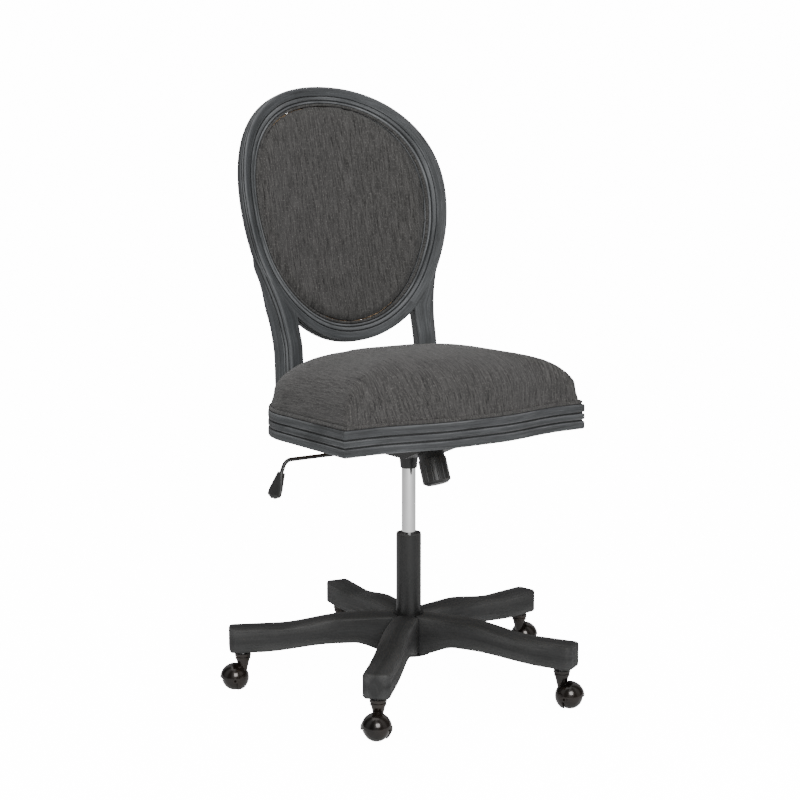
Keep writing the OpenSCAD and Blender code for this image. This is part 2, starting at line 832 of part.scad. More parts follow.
// Band between two distances in front of (-) or behind (+) the back's middle surface
module slab(front, rear) {
    top = lumbar_low + lumbar_span;
    band([for (h = concat([-back_h], [for (k = [10:-1:0]) top - 20 * k], [back_h])) [front, rear, h]]);
}

// Straight prism through the back over an outline
module through_back(outline) {
    translate([0, 100, 0]) rotate([90, 0, 0]) linear_extrude(300) polygon(outline);
}

module back_ring() {
    color(wood) on_back() intersection() {
        slab(-rim_t / 2, rim_t / 2);
        difference() {
            through_back(oval(0));
            through_back(oval(rim_w));
        }
    }
}

module back_panel() {
    color(plywood) on_back() intersection() {
        slab(-panel_t / 2, panel_t / 2);
        through_back(oval(rim_w + joint_gap));
    }
}

module front_pad() {
    color(cloth) on_back() intersection() {
        slab(-rim_t / 2 - pad_proud, -panel_t / 2 - joint_gap);
        through_back(oval(rim_w + 1));
    }
}

module rear_pad() {
    color(cloth) on_back() intersection() {
        slab(panel_t / 2 + joint_gap, rim_t / 2 + pad_rear_proud);
        through_back(oval(rim_w + 1));
    }
}

// Point at the share t of a smooth curve from p to q, leaving along u and arriving along v
function hermite(p, u, q, v, t) =
    (2 * pow(t, 3) - 3 * pow(t, 2) + 1) * p + (pow(t, 3) - 2 * pow(t, 2) + t) * u
    + (-2 * pow(t, 3) + 3 * pow(t, 2)) * q + (pow(t, 3) - pow(t, 2)) * v;

// Outline of the left stile up to the middle of the rim it joins, as [x, height along the slope]
function stile_outline(grow) = let (
    inner = stile_x - stile_half - grow,
    foot = [stile_x + stile_half, stile_foot_h],
    merge = oval_point(merge_angle, 0),
    along = oval_point(merge_angle + 1, 0) - oval_point(merge_angle - 1, 0),
    reach = merge[1] - foot[1],
    leave = 2.1 * reach * [0, 1],
    arrive = 0.9 * reach * along / norm(along),
    joint = oval_point(merge_angle - joint_span, rim_w / 2)
) concat(
    [[inner, stile_under], [foot[0] + grow, stile_under]],
    [for (t = [0:0.125:1]) hermite(foot, leave, merge, arrive, t) + [grow, 0]],
    [oval_point(merge_angle, rim_w / 2), joint, [inner, joint[1] - 3]]
);

// A stile's front and rear faces, from the back's middle surface, at a height along the slope
function stile_front(h) =
    -rim_t / 2 - stile_proud + (stile_proud + stile_inset) * ease((h - lumbar_low + 35) / 45);

function stile_rear(h) = let (foot = stile_t - rim_t / 2 - stile_proud)
    foot - (foot - rim_t / 2 + stile_inset) * ease((h - lumbar_low - 35) / 60);

// A stile before its joint to the ring; its sides are square to the back's curve
module stile_blank(side, grow) {
    heights = concat([stile_under - 30], [for (h = [stile_foot_h:16:-100]) h], [-40]);
    outline = [for (p = stile_outline(grow))
        [back_curve_r * sin(asin(p[0] / back_curve_r) - stile_turn), p[1]]];
    on_back() intersection() {
        band([for (h = heights) [stile_front(h) - grow, stile_rear(h) + grow, h]]);
        mirror([side > 0 ? 0 : 1, 0, 0]) translate([0, -back_curve_r, 0]) rotate([0, 0, -stile_turn])
            translate([0, back_curve_r, 0]) through_back(outline);
    }
}

module stile(side) {
    color(wood) difference() {
        stile_blank(side, 0);
        on_back() through_back(oval(0));
        translate([-far / 2, -far / 2, seat_z - far]) cube([far, far, far]);
        bolt_holes(bolt_shank_r);
    }
}

module left_stile() {
    stile(1);
}

module right_stile() {
    stile(-1);
}

// ---------- the assembly ----------

for (i = [1:arm_count]) {
    base_arm(i);
    caster_hood(i);
    caster_pins(i);
    caster_ball(i);
}
hub_sleeve();
hub_plate();
hub_screws();
caster_sockets();
lift_tube();
guide_bush();
thrust_bearing();
retaining_clip();
piston_rod();
gas_cylinder();
rod_guide();
release_pin();
taper_socket();
mechanism_housing();
pivot_axle();
tension_collar();
tension_spring();
tension_bar();
tension_bolt();
tension_knob();
lever_bush();
lever_rod();
lever_paddle();
seat_plate();
plate_screws();
mechanism_board();
front_rail();
left_rail();
right_rail();
rear_rail();
corner_blocks();
seat_deck();
seat_cushion();
back_ring();
left_stile();
right_stile();
back_panel();
front_pad();
rear_pad();
stile_bolts();
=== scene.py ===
"""The looks of a swivel office chair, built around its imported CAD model.

The oval back, its two stiles, the reeded seat frame, the star base and the lever are surfaces
worked out with numpy; the cushion and the two back pads are puffed up by a short cloth
simulation. Everything is in metres: +Z up, the sitter faces -Y, the origin on the floor.
"""

import json
import logging
import math
from dataclasses import dataclass, field
from enum import Enum
from functools import partial
from typing import Any, Callable, Iterable, Sequence

import bmesh
import bpy
import numpy as np
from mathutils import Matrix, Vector


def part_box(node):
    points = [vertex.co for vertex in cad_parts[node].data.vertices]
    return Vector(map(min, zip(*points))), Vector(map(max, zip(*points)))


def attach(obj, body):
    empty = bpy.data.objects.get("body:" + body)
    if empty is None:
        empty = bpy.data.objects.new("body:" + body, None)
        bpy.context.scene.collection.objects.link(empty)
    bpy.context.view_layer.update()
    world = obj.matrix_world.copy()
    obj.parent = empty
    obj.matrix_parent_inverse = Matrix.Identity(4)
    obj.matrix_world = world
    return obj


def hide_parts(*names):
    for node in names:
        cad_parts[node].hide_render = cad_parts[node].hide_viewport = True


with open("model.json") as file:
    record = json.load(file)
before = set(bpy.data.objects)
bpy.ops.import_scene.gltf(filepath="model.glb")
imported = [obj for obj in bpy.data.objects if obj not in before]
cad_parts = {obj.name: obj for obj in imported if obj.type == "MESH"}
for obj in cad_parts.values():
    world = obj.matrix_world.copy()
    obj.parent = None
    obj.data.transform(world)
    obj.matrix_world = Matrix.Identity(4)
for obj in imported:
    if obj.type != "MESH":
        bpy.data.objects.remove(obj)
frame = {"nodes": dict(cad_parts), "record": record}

log = logging.getLogger("chair")
Array = np.ndarray
MM = 0.001
GRAIN_UV = "grain"
RING_ROWS = 240
WELT_SIDES = 14
PAD_COLUMNS = 160
# Ramps, in millimetres, of the edge mask (wear with painted highlight on convex edges) and of the groove mask (painted
# shade in grooves).
WEAR_HIGHLIGHT_FULL, WEAR_HIGHLIGHT_FROM, HOLLOW_FULL = 0.55, 0.15, 0.45


# ---------- small helpers on arrays ----------


def ease(t: Array | float) -> Array:
    """Rises smoothly from 0 to 1: three t squared less two t cubed.

    Args:
        t: Share of the way, clipped to 0..1.

    Returns:
        The eased share.
    """
    u = np.clip(t, 0.0, 1.0)
    return u * u * (3.0 - 2.0 * u)


def signed_power(v: Array, p: float) -> Array:
    """The size of v raised to p, with v's own sign."""
    return np.sign(v) * np.abs(v) ** p


def soften(loop: Array, times: int, closed: bool = True) -> Array:
    """Cuts the corners of a polyline: each edge keeps its points at a quarter and three quarters.

    Args:
        loop: Points, one a row.
        times: How often the corners are cut.
        closed: Whether the last point joins the first.

    Returns:
        The softened points; an open line keeps its two ends.
    """
    for _ in range(times):
        after = np.roll(loop, -1, axis=0) if closed else loop[1:]
        before = loop if closed else loop[:-1]
        cut = np.stack([0.75 * before + 0.25 * after, 0.25 * before + 0.75 * after], axis=1)
        cut = cut.reshape(-1, loop.shape[1])
        loop = cut if closed else np.vstack([loop[:1], cut, loop[-1:]])
    return loop


def run_length(points: Array, closed: bool = False) -> Array:
    """Distance along a polyline to each of its points, with the closing one added if closed."""
    line = np.vstack([points, points[:1]]) if closed else points
    return np.concatenate([[0.0], np.cumsum(np.linalg.norm(np.diff(line, axis=0), axis=1))])


def resample(points: Array, count: int, closed: bool) -> Array:
    """Points at equal distances along a polyline.

    Args:
        points: The polyline.
        count: How many points come back.
        closed: Whether the last point joins the first.

    Returns:
        The evenly spaced points.
    """
    line = np.vstack([points, points[:1]]) if closed else points
    along = run_length(points, closed)
    at = np.linspace(0.0, along[-1], count, endpoint=not closed)
    return np.stack([np.interp(at, along, line[:, k]) for k in range(line.shape[1])], axis=1)


def edge_masks(profile: Array, reach: float = 1.6) -> tuple[Array, Array]:
    """Where a closed profile is convex or hollow: how far each point stands off its neighbours' mean.

    The edge mask, for wear and painted highlight, is the stand-off outward over WEAR_HIGHLIGHT_FULL less
    WEAR_HIGHLIGHT_FROM, and the groove mask, for painted shade, the stand-off inward over HOLLOW_FULL, each kept within
    0 and 1.

    Args:
        profile: Closed polygon in millimetres.
        reach: Distance to the neighbours compared, in millimetres.

    Returns:
        The edge mask, 1 on a convex edge, for wear and painted highlight, and the groove mask, 1 in a groove, for
        painted shade, for each point.
    """
    line = np.vstack([profile, profile[:1]])
    along = run_length(profile, closed=True)
    total = along[-1]

    def at(distance: Array) -> Array:
        """The profile's point at each distance round it."""
        where = np.mod(distance, total)
        return np.stack([np.interp(where, along, line[:, 0]), np.interp(where, along, line[:, 1])], axis=1)

    ahead, behind = at(along[:-1] + reach), at(along[:-1] - reach)
    tangent = ahead - behind
    area = np.sum(profile[:, 0] * np.roll(profile[:, 1], -1) - np.roll(profile[:, 0], -1) * profile[:, 1])
    outward = np.stack([tangent[:, 1], -tangent[:, 0]], axis=1) * np.sign(area)
    outward /= np.linalg.norm(outward, axis=1, keepdims=True) + 1e-9
    proud = np.sum((profile - (ahead + behind) / 2) * outward, axis=1)
    return np.clip(proud / WEAR_HIGHLIGHT_FULL - WEAR_HIGHLIGHT_FROM, 0, 1), np.clip(-proud / HOLLOW_FULL, 0, 1)


# ---------- meshes ----------


@dataclass
class Surface:
    """A mesh in the making: points, faces, and what its materials read."""

    points: Array
    faces: list[list[int]]
    corner_uv: Array
    masks: dict[str, Array] = field(default_factory=dict)

    @staticmethod
    def grid(
        points: Array,
        uv: Array,
        wrap: tuple[bool, bool],
        caps: bool = False,
        masks: dict[str, Array] | None = None,
    ) -> "Surface":
        """A grid of quads, joined to itself along either way.

        Args:
            points: Rows by columns by 3.
            uv: Pattern coordinates on a grid one longer along each way that wraps.
            wrap: Whether the rows and the columns wrap round.
            caps: Whether the first and last row are closed with a flat face.
            masks: Values on the points, each rows by columns.

        Returns:
            The surface.
        """
        rows, cols = points.shape[:2]
        i, j = np.meshgrid(np.arange(rows - (not wrap[0])), np.arange(cols - (not wrap[1])), indexing="ij")
        corner_i = np.stack([i, i, i + 1, i + 1], axis=-1).reshape(-1, 4)
        corner_j = np.stack([j, j + 1, j + 1, j], axis=-1).reshape(-1, 4)
        quads = (corner_i % rows) * cols + corner_j % cols
        corner_uv = uv[corner_i, corner_j].reshape(-1, 2)
        faces = quads.tolist()
        if caps:
            ring = np.arange(cols)
            faces += [ring[::-1].tolist(), (ring + (rows - 1) * cols).tolist()]
            flat = uv[0, ring[::-1]], uv[-1, ring]
            corner_uv = np.vstack([corner_uv, *flat])
        flat_masks = {name: values.reshape(-1) for name, values in (masks or {}).items()}
        return Surface(points.reshape(-1, 3), faces, corner_uv, flat_masks)

    def to_object(self, name: str, material: bpy.types.Material, sharp: float = 50.0) -> bpy.types.Object:
        """Makes the Blender object, at the origin, with its faces outward.

        Args:
            name: The piece's name.
            material: Its finish.
            sharp: Edges that turn by more than this many degrees stay sharp.

        Returns:
            The object, linked to the scene.
        """
        mesh = bpy.data.meshes.new(name)
        mesh.from_pydata(self.points.tolist(), [], self.faces)
        layer = mesh.uv_layers.new(name=GRAIN_UV)
        layer.data.foreach_set("uv", self.corner_uv.astype(np.float32).ravel())
        for mask, values in self.masks.items():
            attribute = mesh.attributes.new(mask, "FLOAT", "POINT")
            attribute.data.foreach_set("value", values.astype(np.float32))
        work = bmesh.new()
        work.from_mesh(mesh)
        bmesh.ops.recalc_face_normals(work, faces=work.faces)
        work.to_mesh(mesh)
        work.free()
        mesh.shade_smooth()
        mesh.set_sharp_from_angle(angle=math.radians(sharp))
        mesh.materials.append(material)
        made = bpy.data.objects.new(name, mesh)
        bpy.context.scene.collection.objects.link(made)
        return made


def profile_uv(profile: Array, along: Array, wrap_rows: bool) -> Array:
    """Pattern coordinates of a profile carried along a path: distance along it, and distance round it.

    Args:
        profile: Closed profile in millimetres.
        along: Distance of each row along the path, in metres, with the closing one if it wraps.
        wrap_rows: Not used.

    Returns:
        The grid of coordinates in metres.
    """
    around = run_length(profile, closed=True) * MM
    u, v = np.meshgrid(along, around, indexing="ij")
    return np.stack([u, v], axis=-1)


def carry(
    profile: Array,
    rows: Array,
    along: Array,
    point: Callable[[Array, Array, Array], Array],
    closed: bool,
    wear_and_highlight: bool = True,
) -> Surface:
    """A closed profile carried along a path, where point says where a row and a profile point lie.

    Args:
        profile: Closed profile in millimetres.
        rows: Path parameter of each row.
        along: Distance along the path at each row, in metres.
        point: Gives positions from (row parameter, profile x, profile y), all as arrays.
        closed: Whether the path is a loop.
        wear_and_highlight: Whether the profile is marked for wear and painted highlight on its convex edges and for
            painted shade in its grooves.

    Returns:
        The surface, capped at its ends if the path is open.
    """
    s, a = np.meshgrid(rows, profile[:, 0], indexing="ij")
    b = np.broadcast_to(profile[:, 1], s.shape)
    masks = {}
    if wear_and_highlight:
        # Edge mask for wear and painted highlight, groove mask for painted shade.
        edge, hollow = edge_masks(profile)
        masks = {"wear_and_highlight": np.broadcast_to(edge, s.shape), "groove_shade": np.broadcast_to(hollow, s.shape)}
    return Surface.grid(point(s, a, b), profile_uv(profile, along, closed), (closed, True), not closed, masks)


# ---------- finishes ----------


class Graph:
    """Adds nodes to one node tree, with their links and plain values."""

    def __init__(self, tree: bpy.types.NodeTree) -> None:
        """Keeps the tree that the nodes go into."""
        self.tree = tree

    def add(self, kind: str, inputs: dict[Any, Any] | None = None, **settings: Any) -> bpy.types.Node:
        """One node.

        Args:
            kind: The node's type, without its ShaderNode prefix.
            inputs: What goes to each input, by name or number: a socket is linked, a value is set.
            settings: Properties of the node.

        Returns:
            The node.
        """
        node = self.tree.nodes.new(kind if kind.startswith("Node") else "ShaderNode" + kind)
        for name, value in settings.items():
            setattr(node, name, value)
        for name, value in (inputs or {}).items():
            if isinstance(value, bpy.types.NodeSocket):
                self.tree.links.new(value, node.inputs[name])
            else:
                node.inputs[name].default_value = value
        return node

    def stretched_noise(self, vector: Any, stretch: Sequence[float], detail: float = 3.0, twist: float = 0.0) -> Any:
        """Noise on coordinates stretched by three factors, in features a metre; the 0..1 value's socket."""
        scaled = self.add("VectorMath", {0: vector, 1: tuple(stretch)}, operation="MULTIPLY")
        values = {"Vector": scaled.outputs[0], "Scale": 1.0, "Detail": detail, "Distortion": twist}
        return self.add("TexNoise", values).outputs[0]

    def span(self, value: Any, low: float, high: float, start: float = 0.0, end: float = 1.0) -> Any:
        """Maps low..high on to start..end, clamped."""
        values = {"Value": value, "From Min": low, "From Max": high, "To Min": start, "To Max": end}
        return self.add("MapRange", values).outputs[0]

    def mix(self, share: Any, first: Any, second: Any) -> Any:
        """Colour that goes from first to second with share."""
        return self.add("Mix", {0: share, 6: first, 7: second}, data_type="RGBA").outputs[2]

    def math(self, operation: str, first: Any, second: Any = 0.0) -> Any:
        """One sum on two values."""
        return self.add("Math", {0: first, 1: second}, operation=operation).outputs[0]


def node_group(name: str, inputs: Iterable[tuple[str, str, Any]], outputs: Iterable[str]) -> tuple[Any, Any, Any]:
    """Starts a shader node group.

    Args:
        name: The group's name.
        inputs: Name, socket type and plain value of each input.
        outputs: Names of the value outputs.

    Returns:
        The graph, the group's input node and its output node.
    """
    tree = bpy.data.node_groups.new(name, "ShaderNodeTree")
    for label, kind, value in inputs:
        socket = tree.interface.new_socket(label, in_out="INPUT", socket_type=kind)
        if value is not None:
            socket.default_value = value
    for label in outputs:
        tree.interface.new_socket(label, in_out="OUTPUT", socket_type="NodeSocketFloat")
    graph = Graph(tree)
    return graph, graph.add("NodeGroupInput"), graph.add("NodeGroupOutput")


def build_grain_group() -> bpy.types.NodeTree:
    """Brushed open grain: long streaks along the first coordinate, fine pores, and slow blotches."""
    graph, given, out = node_group(
        "brushed grain", [("Vector", "NodeSocketVector", None)], ["Streak", "Pore", "Blotch", "Scratch"]
    )
    vector = given.outputs["Vector"]
    broad = graph.stretched_noise(vector, (5, 150, 150), 4, 0.6)
    fine = graph.stretched_noise(vector, (14, 700, 700), 2, 0.3)
    streak = graph.math("ADD", graph.math("MULTIPLY", broad, 0.6), graph.math("MULTIPLY", fine, 0.4))
    pore = graph.stretched_noise(vector, (22, 1150, 1150), 2)
    blotch = graph.stretched_noise(vector, (7, 26, 26), 3, 0.4)
    graph.tree.links.new(graph.span(streak, 0.33, 0.67), out.inputs["Streak"])
    graph.tree.links.new(graph.span(pore, 0.56, 0.66), out.inputs["Pore"])
    graph.tree.links.new(graph.span(blotch, 0.36, 0.66), out.inputs["Blotch"])
    scratch = graph.stretched_noise(vector, (11, 820, 820), 2, 0.2)
    graph.tree.links.new(graph.span(scratch, 0.58, 0.68), out.inputs["Scratch"])
    return graph.tree


def build_slub_group() -> bpy.types.NodeTree:
    """Slubby plain weave: uneven warp threads along the second coordinate, crossed by a finer weft.

    The weave's height is the product of two sine waves, one across and one along, a thread apart.
    """
    graph, given, out = node_group(
        "slub weave",
        [("Vector", "NodeSocketVector", None), ("Thread", "NodeSocketFloat", 0.0011)],
        ["Slub", "Weave", "Fleck"],
    )
    vector = given.outputs["Vector"]
    wide = graph.stretched_noise(vector, (330, 24, 24), 2, 0.5)
    thin = graph.stretched_noise(vector, (900, 75, 75), 2)
    slub = graph.math("ADD", graph.math("MULTIPLY", wide, 0.55), graph.math("MULTIPLY", thin, 0.45))
    parts = graph.add("SeparateXYZ", {0: vector})
    turns = graph.math("DIVIDE", 2 * math.pi, given.outputs["Thread"])
    waves = [graph.math("SINE", graph.math("MULTIPLY", parts.outputs[k], turns)) for k in (0, 1)]
    weave = graph.span(graph.math("MULTIPLY", waves[0], waves[1]), -1, 1)
    fleck = graph.stretched_noise(vector, (620, 260, 260), 1)
    graph.tree.links.new(graph.span(slub, 0.34, 0.66), out.inputs["Slub"])
    graph.tree.links.new(weave, out.inputs["Weave"])
    graph.tree.links.new(graph.span(fleck, 0.60, 0.70), out.inputs["Fleck"])
    return graph.tree


def build_surface_group() -> bpy.types.NodeTree:
    """Small unevenness of a coated or moulded surface: a fine grain and a slow variation."""
    graph, given, out = node_group(
        "coat texture",
        [("Vector", "NodeSocketVector", None), ("Grains", "NodeSocketFloat", 900.0)],
        ["Grain", "Drift"],
    )
    grain = graph.add("TexNoise", {"Vector": given.outputs["Vector"], "Scale": given.outputs["Grains"], "Detail": 2.0})
    drift = graph.add("TexNoise", {"Vector": given.outputs["Vector"], "Scale": 14.0, "Detail": 3.0})
    graph.tree.links.new(grain.outputs[0], out.inputs["Grain"])
    graph.tree.links.new(graph.span(drift.outputs[0], 0.35, 0.65), out.inputs["Drift"])
    return graph.tree


Colour = tuple[float, float, float, float]


def grey(level: float, warm: float = 0.0) -> Colour:
    """A grey of one linear level, warmer (+) or bluer (-) by a share."""
    return (level * (1 + warm), level, level * (1 - warm), 1.0)


class Effects:
    """The shared node groups, each built once."""

    def __init__(self) -> None:
        """Builds the three groups."""
        self.grain = build_grain_group()
        self.slub = build_slub_group()
        self.coat = build_surface_group()


def new_material(name: str) -> tuple[bpy.types.Material, Graph, bpy.types.Node]:
    """An empty node material with a Principled shader joined to its output.

    Args:
        name: The finish's name.

    Returns:
        The material, its graph and the shader node.
    """
    material = bpy.data.materials.new(name)
    material.use_nodes = True
    material.node_tree.nodes.clear()
    graph = Graph(material.node_tree)
    shader = graph.add("BsdfPrincipled")
    graph.add("OutputMaterial", {"Surface": shader.outputs[0]})
    return material, graph, shader


@dataclass(frozen=True)
class WoodFinish:
    """Wire-brushed, charcoal-stained wood whose grain runs along the piece."""

    name: str
    dark: Colour
    light: Colour
    # Pale edge tone: wear and painted highlight on convex edges, and the colour of scratches.
    edge: Colour
    # Dark tone: painted shade in grooves, and the colour of pores.
    hollow: Colour
    roughness: float = 0.58
    bump: float = 0.35
    scratches: float = 0.35

    def build(self, effects: Effects) -> bpy.types.Material:
        """The material: streaks between dark and light, paler edges for wear and painted highlight, painted shade in
        grooves, and dark pores.
        """
        material, graph, shader = new_material(self.name)
        where = graph.add("UVMap", uv_map=GRAIN_UV).outputs[0]
        grain = graph.add("Group", {}, node_tree=effects.grain)
        graph.tree.links.new(where, grain.inputs["Vector"])
        wear_and_highlight = graph.add("Attribute", attribute_name="wear_and_highlight").outputs["Fac"]
        groove_shade = graph.add("Attribute", attribute_name="groove_shade").outputs["Fac"]
        share = graph.math("ADD", graph.math("MULTIPLY", grain.outputs["Streak"], 0.72),
                           graph.math("MULTIPLY", grain.outputs["Blotch"], 0.28))
        colour = graph.mix(share, self.dark, self.light)
        # Paler convex edges, varied by blotches: wear and painted highlight.
        rubbed = graph.math("MULTIPLY", wear_and_highlight, graph.span(grain.outputs["Blotch"], 0.1, 0.9, 0.15, 0.9))
        colour = graph.mix(rubbed, colour, self.edge)
        colour = graph.mix(graph.math("MULTIPLY", grain.outputs["Scratch"], self.scratches), colour, self.edge)
        # Painted shade in grooves.
        colour = graph.mix(graph.math("MULTIPLY", groove_shade, 0.8), colour, self.hollow)
        colour = graph.mix(graph.math("MULTIPLY", grain.outputs["Pore"], 0.45), colour, self.hollow)
        graph.tree.links.new(colour, shader.inputs["Base Color"])
        rough = graph.span(grain.outputs["Streak"], 0, 1, self.roughness + 0.1, self.roughness - 0.06)
        graph.tree.links.new(rough, shader.inputs["Roughness"])
        height = graph.math("SUBTRACT", graph.math("MULTIPLY", grain.outputs["Streak"], 0.6), grain.outputs["Pore"])
        bump = graph.add("Bump", {"Strength": self.bump, "Distance": 0.0006, "Height": height})
        graph.tree.links.new(bump.outputs[0], shader.inputs["Normal"])
        shader.inputs["Specular IOR Level"].default_value = 0.35
        return material


@dataclass(frozen=True)
class ClothFinish:
    """Charcoal cloth with uneven warp threads."""

    name: str
    dark: Colour
    light: Colour
    fleck: Colour
    thread: float = 0.0011

    def build(self, effects: Effects) -> bpy.types.Material:
        """The material: slubs between dark and light, pale flecks, and a woven bump."""
        material, graph, shader = new_material(self.name)
        where = graph.add("UVMap", uv_map=GRAIN_UV).outputs[0]
        slub = graph.add("Group", {}, node_tree=effects.slub)
        slub.inputs["Thread"].default_value = self.thread
        graph.tree.links.new(where, slub.inputs["Vector"])
        threads = graph.math("ADD", graph.math("MULTIPLY", slub.outputs["Slub"], 0.78),
                             graph.math("MULTIPLY", slub.outputs["Weave"], 0.22))
        colour = graph.mix(threads, self.dark, self.light)
        colour = graph.mix(graph.math("MULTIPLY", slub.outputs["Fleck"], 0.5), colour, self.fleck)
        graph.tree.links.new(colour, shader.inputs["Base Color"])
        height = graph.math("ADD", graph.math("MULTIPLY", slub.outputs["Weave"], 0.6), slub.outputs["Slub"])
        bump = graph.add("Bump", {"Strength": 0.5, "Distance": 0.0004, "Height": height})
        graph.tree.links.new(bump.outputs[0], shader.inputs["Normal"])
        shader.inputs["Roughness"].default_value = 0.92
        shader.inputs["Specular IOR Level"].default_value = 0.15
        shader.inputs["Sheen Weight"].default_value = 0.12
        shader.inputs["Sheen Roughness"].default_value = 0.5
        return material


@dataclass(frozen=True)
class CoatFinish:
    """A metal, coated or moulded surface that varies a little."""

    name: str
    dark: Colour
    light: Colour
    metallic: float
    roughness: float
    grains: float = 900.0
    bump: float = 0.1
    coat: float = 0.0

    def build(self, effects: Effects) -> bpy.types.Material:
        """The material: colour and roughness drift slowly, under a fine bump."""
        material, graph, shader = new_material(self.name)
        where = graph.add("TexCoord").outputs["Object"]
        texture = graph.add("Group", {}, node_tree=effects.coat)
        texture.inputs["Grains"].default_value = self.grains
        graph.tree.links.new(where, texture.inputs["Vector"])
        graph.tree.links.new(graph.mix(texture.outputs["Drift"], self.dark, self.light), shader.inputs["Base Color"])
        rough = graph.span(texture.outputs["Grain"], 0.3, 0.7, self.roughness * 0.88, self.roughness * 1.14)
        graph.tree.links.new(rough, shader.inputs["Roughness"])
        bump = graph.add("Bump", {"Strength": self.bump, "Distance": 0.0002, "Height": texture.outputs["Grain"]})
        graph.tree.links.new(bump.outputs[0], shader.inputs["Normal"])
        shader.inputs["Metallic"].default_value = self.metallic
        shader.inputs["Coat Weight"].default_value = self.coat
        shader.inputs["Coat Roughness"].default_value = 0.12
        return material


@dataclass(frozen=True)
class PinFinish(CoatFinish):
    """Metal that is dark below a height and bright above it."""

    split: float = 0.0

    def build(self, effects: Effects) -> bpy.types.Material:
        """The coat's material, with its colour chosen by the height in the chair."""
        material = super().build(effects)
        graph = Graph(material.node_tree)
        height = graph.add("SeparateXYZ", {0: graph.add("TexCoord").outputs["Object"]}).outputs[2]
        above = graph.math("GREATER_THAN", height, self.split)
        shader = next(node for node in material.node_tree.nodes if node.type == "BSDF_PRINCIPLED")
        graph.tree.links.new(graph.mix(above, self.dark, self.light), shader.inputs["Base Color"])
        return material


@dataclass(frozen=True)
class PlyFinish:
    """Bare plywood and softwood, seen only from below."""

    name: str
    dark: Colour
    light: Colour

    def build(self, effects: Effects) -> bpy.types.Material:
        """The material: the shared grain on object coordinates, along X."""
        material, graph, shader = new_material(self.name)
        where = graph.add("TexCoord").outputs["Object"]
        grain = graph.add("Group", {}, node_tree=effects.grain)
        graph.tree.links.new(where, grain.inputs["Vector"])
        graph.tree.links.new(graph.mix(grain.outputs["Streak"], self.dark, self.light), shader.inputs["Base Color"])
        bump = graph.add("Bump", {"Strength": 0.2, "Distance": 0.0004, "Height": grain.outputs["Streak"]})
        graph.tree.links.new(bump.outputs[0], shader.inputs["Normal"])
        shader.inputs["Roughness"].default_value = 0.75
        return material


class Finish(Enum):
    """Every finish on the chair, by its slot in the record."""

    # Third colour: wear and painted highlight on edges; fourth: painted shade in grooves, and the pore colour.
    FRAME_WOOD = WoodFinish(
        "charcoal frame wood", grey(0.018, -0.05), grey(0.078, -0.06), grey(0.19, -0.03), grey(0.005, -0.03)
    )
    # Third colour: wear and painted highlight on edges; fourth: painted shade in grooves, and the pore colour.
    BASE_WOOD = WoodFinish(
        "charcoal base wood", grey(0.012, -0.01), grey(0.027, -0.01), grey(0.050, 0.0), grey(0.006, 0.0), scratches=0.2
    )
    FABRIC = ClothFinish("charcoal slub cloth", grey(0.006, 0.03), grey(0.084, 0.03), grey(0.17, 0.04))
    PLYWOOD = PlyFinish("bare plywood", (0.28, 0.18, 0.10, 1.0), (0.52, 0.37, 0.22, 1.0))
    BLACK_METAL = CoatFinish("black powder coat", grey(0.006), grey(0.010), 0.0, 0.40, 1400.0, 0.25)
    BLACK_PLASTIC = CoatFinish("black moulded plastic", grey(0.016), grey(0.024), 0.0, 0.42, 2200.0, 0.2)
    CHROME = CoatFinish("bright chrome", grey(0.62), grey(0.70), 1.0, 0.10, 300.0, 0.02)
    STEEL = CoatFinish("zinc plated steel", grey(0.42, 0.01), grey(0.58, 0.01), 1.0, 0.34, 700.0, 0.1)
    BRONZE = CoatFinish(
        "dark rubbed bronze", (0.008, 0.006, 0.005, 1.0), (0.026, 0.019, 0.015, 1.0), 0.6, 0.22, 260.0, 0.05, 0.5
    )
    CASTER_PIN = PinFinish(
        "caster pin", (0.010, 0.008, 0.007, 1.0), (0.55, 0.55, 0.56, 1.0), 1.0, 0.24, split=0.070
    )


class Paints:
    """The finishes as Blender materials, made when first asked for."""

    def __init__(self) -> None:
        """Builds the shared effects; the materials follow."""
        self.effects = Effects()
        self.made: dict[Finish, bpy.types.Material] = {}

    def of(self, finish: Finish) -> bpy.types.Material:
        """The material of one finish."""
        if finish not in self.made:
            self.made[finish] = finish.value.build(self.effects)
        return self.made[finish]

    def dress_nodes(self) -> None:
        """Gives every CAD node the material of its slot in the record."""
        for part in frame["record"]["subparts"]:
            node = frame["nodes"].get(part["node"])
            if node is not None:
                pin = part["node"].startswith("caster_pins")
                finish = Finish.CASTER_PIN if pin else Finish[part["material_slot"].upper()]
                node.data.materials.clear()
                node.data.materials.append(self.of(finish))


def settle(piece: bpy.types.Object, body: str, stands_for: Sequence[str] = ()) -> bpy.types.Object:
    """Puts a finished piece on its body and hides the CAD nodes that it replaces.

    Args:
        piece: The piece.
        body: CAD body that it moves with.
        stands_for: CAD nodes that it replaces.

    Returns:
        The piece.
    """
    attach(piece, body)
    if stands_for:
        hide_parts(*stands_for)
    log.info("%s on %s: %d faces", piece.name, body, len(piece.data.polygons))
    return piece


# ---------- the back ----------


